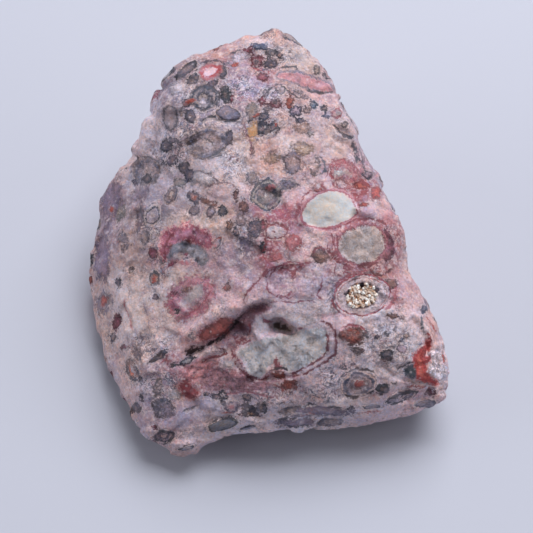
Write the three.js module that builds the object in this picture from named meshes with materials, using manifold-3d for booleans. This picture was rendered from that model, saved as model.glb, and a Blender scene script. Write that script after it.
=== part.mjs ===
// A hand-sized piece of orbicular jasper, as broken from the rock, resting on the scar of its own base.
// The stone is one solid. A second, small solid is the crust of crystals in the one hollow of its broad face.
// Millimetres, +Z up. The origin is at the bottom centre of the bounding box.
import * as THREE from "three";
import { ConvexHull } from "three/addons/math/ConvexHull.js";
import { ImprovedNoise } from "three/addons/math/ImprovedNoise.js";
import { mergeVertices } from "three/addons/utils/BufferGeometryUtils.js";
import Module from "manifold-3d";

const wasm = await Module();
wasm.setup();

// ---- Driving dimensions ----
const FACE_LEAN = THREE.MathUtils.degToRad(28); // how far the broad face is tipped up from level
const CREST_LIFT = 9; // height of the face frame's origin above the plane that the stone rests on
const FOOT_DEPTH = -1.5; // the base corners lie this far under the rest plane, which then cuts them flat
const EDGE_WEAR = 0.22; // reach of the rounding along the broken edges
const FACE_GAIN = 0.55; // the faces stand this far out, which makes up for the worn edges
const STEP_DEPTH = 1.5; // height of the step across the lower part of the broad face
const STEP_REACH = 6; // how far below the step its ground climbs back
const STEP_FLOOR = [4.5, 7.5]; // the step fades out between these heights up the face
const LUMPS = { broad: 0.36, small: 0.34, ledge: 0.3 }; // heights of the relief
const SEAT_GAP = 0.3; // between the crystal crust and the wall of its hollow
const hollow = { at: [11.2, 19.1], width: 3.8, height: 3.0, depth: 1.5, turn: 0.2 };
const pits = [
  { at: [2.1, 15.4], width: 2.9, height: 1.5, depth: 1.1, turn: -0.35 },
  { at: [-1.1, 17.1], width: 2.6, height: 1.1, depth: 1.0, turn: -0.25 },
];
const SURFACE_DETAIL = 21; // 20 * (SURFACE_DETAIL + 1) ** 2 triangles, before the base is cut flat

const { clamp, smoothstep } = THREE.MathUtils;

// ---- Face frame ----
// u runs to the right, v up the broad face and w out of it.
// The lowest tip of the face is at v = 0, and its crest at w = 0.
const toRest = new THREE.Matrix4()
  .makeTranslation(0, 0, CREST_LIFT)
  .multiply(new THREE.Matrix4().makeRotationX(FACE_LEAN));
const fromRest = toRest.clone().invert();
const onFace = (u, v, w) => new THREE.Vector3(u, v, w).applyMatrix4(toRest);

// ---- Corners of the broken block ----
// The rim round the broad face, anticlockwise from its top, as [u, v, w].
const rimCorners = [
  [1.8, 49.6, -9], [-0.5, 50.0, -9], [-5.2, 49.0, -9], [-9.6, 47.6, -9], [-12.6, 45.3, -9],
  [-13.3, 42.2, -10], [-18.4, 33.2, -15], [-21.0, 29.9, -16], [-21.1, 23.0, -18], [-21.2, 17.2, -16],
  [-19.7, 11.4, -13], [-16.9, 6.7, -10], [-14.4, 3.1, -8], [-11.4, 0.8, -7], [-9.7, 0.0, -7],
  [-6.2, 0.2, -7], [-2.0, 1.8, -8], [4.0, 3.2, -8.5], [10.6, 2.8, -8.5], [15.8, 4.0, -8],
  [19.2, 6.1, -7.5], [21.3, 8.1, -7], [21.5, 9.8, -6.5], [20.7, 14.1, -6], [18.3, 20.0, -6],
  [15.4, 27.3, -6], [12.3, 35.2, -6.5], [9.1, 42.0, -7.5], [6.9, 46.5, -8.5], [3.4, 48.4, -9],
];
// Ridges inside the rim, as [u, v, w]: the crest, the right shoulder, the brow over the front wall,
// and the edge above the left flank.
const ridgeCorners = [
  [-2.1, 18.6, 0], [-3.0, 26.2, -0.8], [-3.4, 31.6, -1.5], [-0.5, 36.3, -2.5], [-1.3, 42.2, -4.5],
  [-1.9, 46.9, -7],
  [7.6, 30.4, -1.5], [9.3, 23.3, -1], [7.6, 15.0, -1], [15.2, 23.3, -3.5], [17.6, 16.2, -3],
  [-13.7, 3.8, -6.5], [-7.8, 3.8, -5], [-0.5, 4.6, -4.5], [4.0, 6.1, -4], [9.9, 7.3, -4],
  [16.8, 9.2, -4], [20.2, 8.9, -5.5],
  [-10.8, 43.4, -6], [-11.9, 36.3, -6.5], [-13.7, 30.4, -7], [-14.9, 23.3, -7], [-15.5, 15.0, -7],
  [-14.9, 7.9, -7],
];
// The back and the base, as [x, y, z] over the rest plane.
const backCorners = [
  [5.5, 49.5, 15], [-8, 50, 13], [11.5, 39, 10], [-14.5, 42, 10], [-3, 51, 6], [7, 50, 5],
  [-13, 43, 4], [15, 30, 7],
];
const footCorners = [
  [-11, 8.5], [4, 10.5], [14, 11], [18.5, 17], [15, 30], [8, 45], [-3, 48], [-12, 40], [-19, 29], [-15.5, 15],
];

const corners = [
  ...rimCorners.map((p) => onFace(...p)),
  ...ridgeCorners.map((p) => onFace(...p)),
  ...backCorners.map((p) => new THREE.Vector3(...p)),
  ...footCorners.map(([x, y]) => new THREE.Vector3(x, y, FOOT_DEPTH)),
];
const brokenFaces = new ConvexHull().setFromPoints(corners).faces.map((face) => ({
  normal: face.normal.clone(),
  offset: face.normal.dot(face.midpoint),
}));
const heart = new THREE.Vector3(0, 27, 11); // every point of the surface is in sight of it

// ---- Flake scars ----
// Each is shell-shaped, where a ball outside the stone reaches in past a point by a depth.
const rimScars = [
  { at: [-15.9, 37.4, -13.5], from: [-0.86, 0.5, 0.1], depth: 1.1, radius: 8.5 },
  { at: [1.2, 1.2, -8.5], from: [0.08, -1, -0.1], depth: 1.65, radius: 23 },
  { at: [20.6, 11.8, -5.5], from: [0.8, 0.35, 0.6], depth: 0.5, radius: 5 },
];
const wallScars = [
  { at: [18.6, 22, 5], from: [1, 0.3, 0], depth: 1.3, radius: 8 },
  { at: [13.5, 36, 7], from: [1, 0.45, -0.1], depth: 1.2, radius: 9 },
  { at: [9.5, 45.5, 13], from: [0.8, 0.9, 0.1], depth: 0.9, radius: 7 },
  { at: [-1, 51.5, 16], from: [0.05, 1, -0.15], depth: 1.5, radius: 11 },
  { at: [4, 50.5, 5], from: [0.2, 1, -0.3], depth: 1.3, radius: 9 },
  { at: [-9, 48.5, 8], from: [-0.5, 1, -0.1], depth: 1.4, radius: 9 },
  { at: [-15.5, 42, 5], from: [-1, 0.5, -0.3], depth: 1.1, radius: 8 },
  { at: [-20.4, 24, 0.5], from: [-1, 0, -0.5], depth: 0.6, radius: 7 },
];
function scarBall({ at, from, depth, radius }, frame) {
  const outward = new THREE.Vector3(...from).transformDirection(frame);
  const centre = new THREE.Vector3(...at).applyMatrix4(frame).addScaledVector(outward, radius - depth);
  return { centre, radius };
}
const scarBalls = [
  ...rimScars.map((scar) => scarBall(scar, toRest)),
  ...wallScars.map((scar) => scarBall(scar, new THREE.Matrix4())),
];

// ---- The step across the lower face ----
const stepLine = [
  [-12.5, 7.5], [-9.6, 9.6], [-7.2, 11.6], [-4.6, 14.4], [-2.3, 17.0], [-0.2, 16.9], [1.4, 16.0], [4.6, 14.6],
];

// The nearest point of the step line: how far off it is, whether (u, v) lies below (+1) or above it (-1),
// and how far along the line it is, from 0 to 1.
function besideStep(u, v) {
  let best = { far: Infinity };
  for (let i = 0; i + 1 < stepLine.length; i++) {
    const [au, av] = stepLine[i];
    const [du, dv] = [stepLine[i + 1][0] - au, stepLine[i + 1][1] - av];
    const share = clamp(((u - au) * du + (v - av) * dv) / (du * du + dv * dv), 0, 1);
    const [pu, pv] = [u - au - share * du, v - av - share * dv];
    const far = Math.hypot(pu, pv);
    const side = Math.sign(pu * dv - pv * du);
    if (far < best.far) best = { far, side, along: (i + share) / (stepLine.length - 1) };
  }
  return best;
}

function stepDrop(p) {
  const q = p.clone().applyMatrix4(fromRest);
  const { far, side, along } = besideStep(q.x, q.y);
  const run = Math.sin(Math.PI * clamp(along, 0, 1)) ** 0.9;
  const below = smoothstep(side * far, -0.4, 0.6) * Math.max(0, 1 - far / STEP_REACH);
  return STEP_DEPTH * run * below * smoothstep(q.y, ...STEP_FLOOR);
}

// ---- The stone's surface ----
const noise = new ImprovedNoise();
const noiseAt = (p, size, shift) =>
  noise.noise(p.x / size + shift, p.y / size + shift * 1.7, p.z / size - shift);

// Lumps and hollows left by the break, and shallow ledges.
function relief(p) {
  const lumps = LUMPS.broad * noiseAt(p, 11, 3.1) + LUMPS.small * noiseAt(p, 5.2, 7.7);
  const rise = 2.6 * noiseAt(p, 8, 21.3) + 0.3 * noiseAt(p, 3, 4.9);
  const shelf = Math.floor(rise);
  return lumps + LUMPS.ledge * (shelf + smoothstep(rise - shelf, 0.3, 0.7) - 0.5);
}

// The largest value, with the edges between faces worn round.
function wornMax(values) {
  const top = Math.max(...values);
  const sum = values.reduce((total, value) => total + Math.exp((value - top) / EDGE_WEAR), 0);
  return top + EDGE_WEAR * Math.log(sum);
}

// Below zero inside the stone.
function stoneDistance(p) {
  const block = wornMax(brokenFaces.map((face) => face.normal.dot(p) - face.offset)) - FACE_GAIN;
  const scars = scarBalls.map((ball) => ball.radius - p.distanceTo(ball.centre));
  return Math.max(block, ...scars) + stepDrop(p) - relief(p);
}

// Halves the stretch between a point outside the stone and one inside it until they meet at its surface.
function surfaceBetween(outside, inside) {
  const [far, near] = [outside.clone(), inside.clone()];
  for (let i = 0; i < 22; i++) {
    const middle = far.clone().lerp(near, 0.5);
    (stoneDistance(middle) > 0 ? far : near).copy(middle);
  }
  return near;
}

// Where the line from the heart along a direction leaves the stone.
const MARCH_START = 30;
const MARCH_STEP = 0.25;
const BASE_SNAP = 0.3; // surface points this near the rest plane lie on it
function surfaceAlong(direction) {
  const at = (reach) => heart.clone().addScaledVector(direction, reach);
  let reach = MARCH_START;
  while (stoneDistance(at(reach - MARCH_STEP)) > 0) reach -= MARCH_STEP;
  const found = surfaceBetween(at(reach), at(reach - MARCH_STEP));
  if (Math.abs(found.z) < BASE_SNAP) found.z = 0;
  return found;
}

// ---- Solids ----
function solidOf(geometry) {
  const bare = new THREE.BufferGeometry().setAttribute("position", geometry.attributes.position);
  const merged = mergeVertices(bare.setIndex(geometry.index), 1e-4);
  const vertProperties = merged.attributes.position.array;
  const triVerts = new Uint32Array(merged.index.array);
  return new wasm.Manifold(new wasm.Mesh({ numProp: 3, vertProperties, triVerts }));
}

function geometryOf(solid) {
  const { vertProperties, triVerts } = solid.getMesh();
  return new THREE.BufferGeometry()
    .setAttribute("position", new THREE.BufferAttribute(vertProperties, 3))
    .setIndex(new THREE.BufferAttribute(triVerts, 1));
}

// An even net of triangles round the heart, each corner moved out to the surface, then cut by the rest plane.
function brokenStone() {
  const net = new THREE.IcosahedronGeometry(1, SURFACE_DETAIL);
  const bare = new THREE.BufferGeometry().setAttribute("position", net.attributes.position);
  const merged = mergeVertices(bare, 1e-5);
  const points = merged.attributes.position;
  for (let i = 0; i < points.count; i++) {
    const p = surfaceAlong(new THREE.Vector3().fromBufferAttribute(points, i).normalize());
    points.setXYZ(i, p.x, p.y, p.z);
  }
  const underRest = new THREE.BoxGeometry(80, 80, 20).translate(0, 27, -10);
  return solidOf(merged).subtract(solidOf(underRest));
}

// The point of the broad face over u and v.
const facePoint = (u, v) => surfaceBetween(onFace(u, v, 6), onFace(u, v, -10));

// A frame on the broad face, z out of the surface round it and x turned from the face's right.
function faceFrame({ at: [u, v], width, height, turn }) {
  const right = facePoint(u + width / 2, v).sub(facePoint(u - width / 2, v)).normalize();
  const up = facePoint(u, v + height / 2).sub(facePoint(u, v - height / 2)).normalize();
  const out = right.clone().cross(up).normalize();
  return new THREE.Matrix4()
    .makeBasis(right, out.clone().cross(right), out)
    .setPosition(facePoint(u, v))
    .multiply(new THREE.Matrix4().makeRotationZ(turn));
}

function bowl({ width, height, depth }, shrink, columns) {
  const ball = new THREE.SphereGeometry(1, columns, Math.round(columns * 0.6));
  return ball.scale(width / 2 - shrink, height / 2 - shrink, depth - shrink);
}

// ---- Crystal crust ----
const MATRIX_TOP = -0.85; // the crystals stand on matrix that lies this far below the hollow's mouth
const CRYSTAL_ROOT = 0.6; // length of a crystal inside the matrix
const CRYSTAL_TILT = 0.14; // less than the taper of a crystal, so that none overhangs
const TIP_SPREAD = 0.22;
const crystalRings = [
  { count: 1, ring: 0, foot: 0.6, tip: 0.3, top: -0.3 },
  { count: 5, ring: 0.5, foot: 0.55, tip: 0.26, top: -0.42 },
  { count: 9, ring: 1, foot: 0.42, tip: 0.2, top: -0.3 },
];
const OUTER_RING = [hollow.width / 2 - 0.75, hollow.height / 2 - 0.7];

// Blocky crystals on a lens of matrix, inside the walls of the hollow.
function crystalCrust() {
  const room = solidOf(bowl(hollow, SEAT_GAP, 20));
  const aboveMatrix = new THREE.BoxGeometry(9, 9, 3).translate(0, 0, 1.5 + MATRIX_TOP);
  let crust = room.subtract(solidOf(aboveMatrix));
  for (const { count, ring, foot, tip, top } of crystalRings) {
    for (let i = 0; i < count; i++) {
      const around = (2 * Math.PI * i) / count + ring;
      const length = CRYSTAL_ROOT + top + TIP_SPREAD * Math.sin(5.1 * i + ring) - MATRIX_TOP;
      const crystal = new THREE.CylinderGeometry(tip, foot, length, 4 + (i % 3), 1)
        .rotateX(Math.PI / 2)
        .rotateZ(2.3 * i)
        .translate(0, 0, MATRIX_TOP - CRYSTAL_ROOT + length / 2)
        .rotateX(CRYSTAL_TILT * Math.sin(1.9 * i))
        .rotateY(CRYSTAL_TILT * Math.cos(2.7 * i))
        .translate(ring * OUTER_RING[0] * Math.cos(around), ring * OUTER_RING[1] * Math.sin(around), 0);
      crust = crust.add(solidOf(crystal));
    }
  }
  return crust.intersect(room);
}

// ---- The part ----
let stone = brokenStone().subtract(solidOf(bowl(hollow, 0, 20).applyMatrix4(faceFrame(hollow))));
for (const pit of pits) stone = stone.subtract(solidOf(bowl(pit, 0, 10).applyMatrix4(faceFrame(pit))));
const stoneGeometry = geometryOf(stone);
const crustGeometry = geometryOf(crystalCrust()).applyMatrix4(faceFrame(hollow));

const jasper = new THREE.MeshStandardMaterial({ color: 0xa8908f, roughness: 0.7, metalness: 0 });
const crystals = new THREE.MeshStandardMaterial({ color: 0xd9c9ad, roughness: 0.45, metalness: 0 });

const specimen = new THREE.Group();
for (const [name, geometry, material] of [
  ["jasper_stone", stoneGeometry, jasper],
  ["vug_crystals", crustGeometry, crystals],
]) {
  const mesh = new THREE.Mesh(geometry, material);
  mesh.name = name;
  specimen.add(mesh);
}

// Set the bottom centre of the bounding box on the origin.
stoneGeometry.computeBoundingBox();
const centre = stoneGeometry.boundingBox.getCenter(new THREE.Vector3());
for (const mesh of specimen.children) mesh.position.set(-centre.x, -centre.y, 0);

export default specimen;
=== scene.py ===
import math

import bmesh
import bpy
import numpy as np
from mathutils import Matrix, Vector, noise
from mathutils.bvhtree import BVHTree


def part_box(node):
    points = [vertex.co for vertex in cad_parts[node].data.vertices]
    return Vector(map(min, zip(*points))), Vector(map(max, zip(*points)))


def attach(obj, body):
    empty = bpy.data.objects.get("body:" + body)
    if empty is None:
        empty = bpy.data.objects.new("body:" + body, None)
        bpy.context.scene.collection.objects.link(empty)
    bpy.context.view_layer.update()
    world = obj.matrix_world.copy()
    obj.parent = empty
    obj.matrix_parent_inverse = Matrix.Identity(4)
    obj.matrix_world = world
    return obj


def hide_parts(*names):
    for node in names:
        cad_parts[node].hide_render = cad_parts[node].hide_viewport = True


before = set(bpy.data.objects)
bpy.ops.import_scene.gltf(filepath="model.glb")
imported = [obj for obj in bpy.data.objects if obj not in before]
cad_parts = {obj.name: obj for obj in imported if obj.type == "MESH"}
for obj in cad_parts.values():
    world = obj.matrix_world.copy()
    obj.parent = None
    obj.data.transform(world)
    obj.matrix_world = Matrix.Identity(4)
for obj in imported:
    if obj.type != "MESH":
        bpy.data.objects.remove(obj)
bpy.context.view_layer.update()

# ---------------------------------------------------------------- viewpoint
# A hand-size stone seen from 62 degrees above the table, from as far off as a close-up lens stands.
# The broad face of the stone leans towards this viewpoint, and its markings are laid out from it.
MM = 0.001
PICTURE = 533                                # width and height of the picture frame, in pixels
ELEVATION = math.radians(62)
FOCAL_PIXELS = 3071.0                        # focal length in pixels of the picture frame
VIEW_DISTANCE = 363.0                        # mm, from the lens to the plane in focus
FACE_ORIGIN = np.array([-0.02, -27.29, 9.0])  # mm, lowest tip of the broad face at its crest's height
AIM = (0.06, 22.52, -4.0)                    # mm right of, up and out of the face from that origin
SENSOR_WIDTH = 36.0                          # mm
NEAREST_SEEN = 0.01                          # m

face_right = np.array([1.0, 0.0, 0.0])
face_up = np.array([0.0, math.sin(ELEVATION), math.cos(ELEVATION)])
face_out = np.array([0.0, -math.cos(ELEVATION), math.sin(ELEVATION)])
aim_point = FACE_ORIGIN + AIM[0] * face_right + AIM[1] * face_up + AIM[2] * face_out
eye_point = aim_point + VIEW_DISTANCE * face_out

camera_data = bpy.data.cameras.new("viewpoint")
camera_data.sensor_width = SENSOR_WIDTH
camera_data.lens = FOCAL_PIXELS / PICTURE * SENSOR_WIDTH
camera_data.clip_start = NEAREST_SEEN
camera = bpy.data.objects.new("viewpoint", camera_data)
camera.location = Vector(eye_point) * MM
camera.rotation_euler = (math.pi / 2 - ELEVATION, 0, 0)
bpy.context.scene.collection.objects.link(camera)
bpy.context.scene.camera = camera


def to_picture(points):
    """Pixel places in the picture frame of points in mm, as rows of x, y."""
    from_eye = points - eye_point
    depth = -from_eye @ face_out
    x = PICTURE / 2 + FOCAL_PIXELS * (from_eye @ face_right) / depth
    y = PICTURE / 2 - FOCAL_PIXELS * (from_eye @ face_up) / depth
    return np.stack([x, y], axis=1)


# ---------------------------------------------------------------- the stone
# One piece of orbicular jasper: rhyolite soaked with silica, full of round orbs that grew layer by layer.
# It was broken, not cut, so its skin is hackly: small chipped facets, ledges, a crevice and a deep pit.
STONE_GRID = 0.265                           # mm, spacing of the stone's mesh
WELD = 0.001                                 # mm, within which the solid's loose corners are one
PIXEL = VIEW_DISTANCE / FOCAL_PIXELS         # mm that one pixel spans in the plane in focus

node_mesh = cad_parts["jasper_stone"].data
welded = bmesh.new()
welded.from_mesh(node_mesh)
bmesh.ops.remove_doubles(welded, verts=welded.verts, dist=WELD * MM)
coarse_mesh = bpy.data.meshes.new("coarse_stone")
welded.to_mesh(coarse_mesh)
welded.free()
coarse = bpy.data.objects.new("coarse_stone", coarse_mesh)
bpy.context.scene.collection.objects.link(coarse)
remesh = coarse.modifiers.new("even_grid", "REMESH")
remesh.mode = "VOXEL"
remesh.voxel_size = STONE_GRID * MM
even = coarse.evaluated_get(bpy.context.evaluated_depsgraph_get())
stone_mesh = bpy.data.meshes.new_from_object(even)
bpy.data.objects.remove(coarse)


def vertex_places(mesh):
    """The places of a mesh's vertices in mm."""
    flat = np.empty(len(mesh.vertices) * 3)
    mesh.vertices.foreach_get("co", flat)
    return flat.reshape(-1, 3) / MM


def set_vertex_places(mesh, places):
    """Move a mesh's vertices to places in mm."""
    mesh.vertices.foreach_set("co", (places * MM).ravel())
    mesh.update()


def vertex_normals(mesh):
    """The directions that a mesh's vertices face."""
    flat = np.empty(len(mesh.vertices) * 3)
    mesh.vertex_normals.foreach_get("vector", flat)
    return flat.reshape(-1, 3)


edges = np.empty(len(stone_mesh.edges) * 2, dtype=np.int64)
stone_mesh.edges.foreach_get("vertices", edges)
edges = edges.reshape(-1, 2)


def neighbour_mean(values):
    """For each vertex, the mean of the values at the far ends of its edges."""
    total = np.zeros_like(values)
    np.add.at(total, edges[:, 0], values[edges[:, 1]])
    np.add.at(total, edges[:, 1], values[edges[:, 0]])
    count = np.bincount(edges.ravel(), minlength=len(values))
    return total / np.maximum(count, 1).reshape((-1,) + (1,) * (values.ndim - 1))


# The flat base and the wall of the hollow keep their shape; elsewhere the grid's facets are smoothed away.
BASE_BAND = 0.35                             # mm above the table; from half of it up, the skin comes free
hollow_low, hollow_high = (np.array(corner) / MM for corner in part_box("vug_crystals"))
hollow_middle = (hollow_low + hollow_high) / 2
HOLLOW_REACH = 2.4                           # mm from the middle of the crystals
SMOOTHINGS = 9
SMOOTHING_SHARE = 0.5                        # of the way to its neighbours' middle that a point moves each time

places = vertex_places(stone_mesh)
near_hollow = np.linalg.norm(places - hollow_middle, axis=1) < HOLLOW_REACH
free = np.clip(places[:, 2] / BASE_BAND - 0.5, 0, 1) * ~near_hollow
for _ in range(SMOOTHINGS):
    places += SMOOTHING_SHARE * free[:, None] * (neighbour_mean(places) - places)
set_vertex_places(stone_mesh, places)
normals = vertex_normals(stone_mesh)


def noise_field(points, size, shift, kind="PERLIN_ORIGINAL"):
    """Smooth noise from -1 to 1 at points in mm, with lumps of a size in mm."""
    offset = Vector((shift, 1.7 * shift, -shift))
    return np.array([noise.noise(Vector(p) / size + offset, noise_basis=kind) for p in points])


def chipped_facets(points, size, shift):
    """Height in mm of small broken facets: each cell of rock has its own tilt, so edges step."""
    heights = np.empty(len(points))
    offset = Vector((shift, -shift, 2 * shift))
    for i, p in enumerate(points):
        q = Vector(p) / size + offset
        cell = noise.voronoi(q)[1][0]
        tilt = 2 * noise.cell_vector(cell * 7.3) - Vector((1, 1, 1))
        heights[i] = (q - cell).dot(tilt) * size
    return heights


def line_distance(points, corners, closed):
    """Pixels from points to a line of corners, which side they are on, how far along, and the line's length."""
    starts = np.array(corners, float)
    ends = np.roll(starts, -1, axis=0)
    if not closed:
        starts, ends = starts[:-1], ends[:-1]
    best = np.full(len(points), np.inf)
    side, along, travelled = np.ones(len(points)), np.zeros(len(points)), 0.0
    for start, end in zip(starts, ends):
        step = end - start
        length = np.hypot(*step)
        t = np.clip((points - start) @ step / length ** 2, 0, 1)
        gap = points - (start + t[:, None] * step)
        distance = np.hypot(gap[:, 0], gap[:, 1])
        closer = distance < best
        best[closer] = distance[closer]
        side[closer] = np.sign(step[0] * gap[closer, 1] - step[1] * gap[closer, 0])
        along[closer] = travelled + t[closer] * length
        travelled += length
    return best, side, along, travelled


def strays(points, size, shift, shift_step):
    """How far each point is led astray by smooth noise, as three shares from -1 to 1."""
    return np.stack([noise_field(points, size, shift + shift_step * k) for k in range(3)], axis=1)


FACETS = [(3.6, 4.1, 0.15), (1.6, 9.3, 0.10), (0.85, 21.0, 0.05)]   # size in mm, shift, steepness
LUMPS = [(2.2, 2.0, 0.12), (0.9, 6.0, 0.05), (0.5, 12.0, 0.02)]     # size in mm, shift, height in mm
EVENING = 0.4                                # share of its neighbours in each point's relief
# Grooves and crevices, as reach either side in mm, depth in mm, and points in the picture frame.
# A depth below zero is a ridge.
GROOVES = [
    (0.75, 1.0, [(189, 353), (202, 348), (213, 344), (226, 337), (240, 327)]),
    (1.0, 0.8, [(236, 322), (248, 314), (258, 308), (267, 306)]),
    (1.0, 0.9, [(273, 326), (280, 324), (291, 331)]),
    (0.5, 0.45, [(333, 125), (350, 136), (355, 150), (362, 170), (371, 179)]),
    (0.5, 0.35, [(381, 366), (397, 378), (409, 381), (436, 386)]),
    (0.5, 0.3, [(236, 366), (244, 374), (253, 381), (266, 379), (282, 377), (296, 376)]),
    (0.45, 0.25, [(284, 411), (308, 405), (326, 408)]),
    (0.45, 0.3, [(207, 424), (217, 418), (230, 417)]),
    (0.45, 0.3, [(303, 88), (318, 92), (333, 92)]),
    (0.45, 0.25, [(216, 119), (226, 122), (238, 119)]),
    (0.6, 0.35, [(187, 143), (193, 139), (198, 137)]),
    (0.45, 0.3, [(174, 309), (180, 312)]),
    (0.7, -0.35, [(196, 341), (210, 350), (222, 348)]),
    (0.9, -0.35, [(186, 336), (200, 326), (218, 313), (236, 306)]),
    (0.8, -0.3, [(150, 300), (152, 330), (160, 350)]),
    (0.6, -0.25, [(128, 330), (142, 352), (150, 372)]),
]
# Bulges of the outer edge of the broad face, and hollows in it below zero, in the same way.
BULGES = [
    (2.2, 0.78, [(236, 41), (250, 37), (264, 36)]),
    (1.5, 0.35, [(274, 36), (286, 38)]),
    (1.6, 0.95, [(147, 127), (142, 137), (138, 145)]),
    (1.4, 0.35, [(168, 72), (190, 58)]),
    (1.5, 0.45, [(134, 153), (126, 168)]),
    (1.6, -0.10, [(104, 190), (97, 207)]),
    (2.0, -0.45, [(92, 225), (89, 240), (89, 255)]),
    (1.5, 0.30, [(320, 68), (330, 84)]),
    (1.8, -0.20, [(94, 298), (96, 312)]),
    (1.6, -0.30, [(410, 268), (420, 288)]),
    (1.8, 0.10, [(448, 364), (449, 388)]),
    (1.6, -0.25, [(378, 428), (395, 427), (412, 421)]),
    (1.8, 0.10, [(146, 434), (136, 418)]),
    (1.8, -0.42, [(205, 443), (228, 440), (252, 435)]),
    (1.5, 0.28, [(441, 394), (437, 403)]),
    (1.5, 0.28, [(158, 100), (154, 117)]),
]
# The wall below the broad face leans in at its foot: pixels across the picture frame and how far, in mm.
FOOT_LEAN = [(188, 0), (204, 0.8), (250, 0.8), (290, 0.45), (340, 0.15), (380, 0.6), (420, 0.5), (436, 0)]
FOOT_RISE = (2.0, 5.0)                       # mm above the table where the lean starts to fade and ends
FOOT_DEPTH = (400, 424)                      # pixels down the picture frame where it starts and is full
GROOVE_STRAY = 0.25                          # mm that grooves and bulges stray from their points
GROOVE_STRAY_SIZE = 0.9                      # mm

rise = np.zeros(len(places))
for size, shift, steepness in FACETS:
    rise += steepness * chipped_facets(places, size, shift)
for size, shift, height in LUMPS:
    rise += height * noise_field(places, size, shift)
rise = (1 - EVENING) * rise + EVENING * neighbour_mean(rise)
to_eye = eye_point - places
to_eye /= np.linalg.norm(to_eye, axis=1)[:, None]
facing = np.sum(normals * to_eye, axis=1)
picture = to_picture(places + GROOVE_STRAY * strays(places, GROOVE_STRAY_SIZE, 80.0, 7))
for reach, depth, corners in GROOVES:
    distance = line_distance(picture, corners, False)[0] * PIXEL / reach
    rise -= depth * np.clip(1 - distance ** 2, 0, 1) ** 2 * (facing > 0)
for reach, height, corners in BULGES:
    distance = line_distance(picture, corners, False)[0] * PIXEL / reach
    rise += height * np.clip(1 - distance ** 2, 0, 1) * (facing > -0.8)
places += normals * (rise * free)[:, None]
low = np.interp(places[:, 2], FOOT_RISE, (1, 0))
in_front = np.interp(picture[:, 1], FOOT_DEPTH, (0, 1))
places[:, 1] += low * in_front * np.interp(picture[:, 0], *zip(*FOOT_LEAN))
places[:, 2] = np.maximum(places[:, 2], 0.0)
set_vertex_places(stone_mesh, places)
normals = vertex_normals(stone_mesh)

# ---------------------------------------------------------------- markings of the stone
# Orbs grew round seeds in the cooling rock, layer on layer, and iron stained some of them and the cracks.
# Each mark is a solid shape in the rock, cut through by the broken skin, so it shows as rings.


def hex_colour(code):
    """Linear RGBA of an sRGB hex colour."""
    srgb = [int(code[i:i + 2], 16) / 255 for i in (1, 3, 5)]
    return tuple(c / 12.92 if c <= 0.04045 else ((c + 0.055) / 1.055) ** 2.4 for c in srgb) + (1.0,)


ZONES = ("core", "body", "ring", "halo", "rim")
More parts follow.
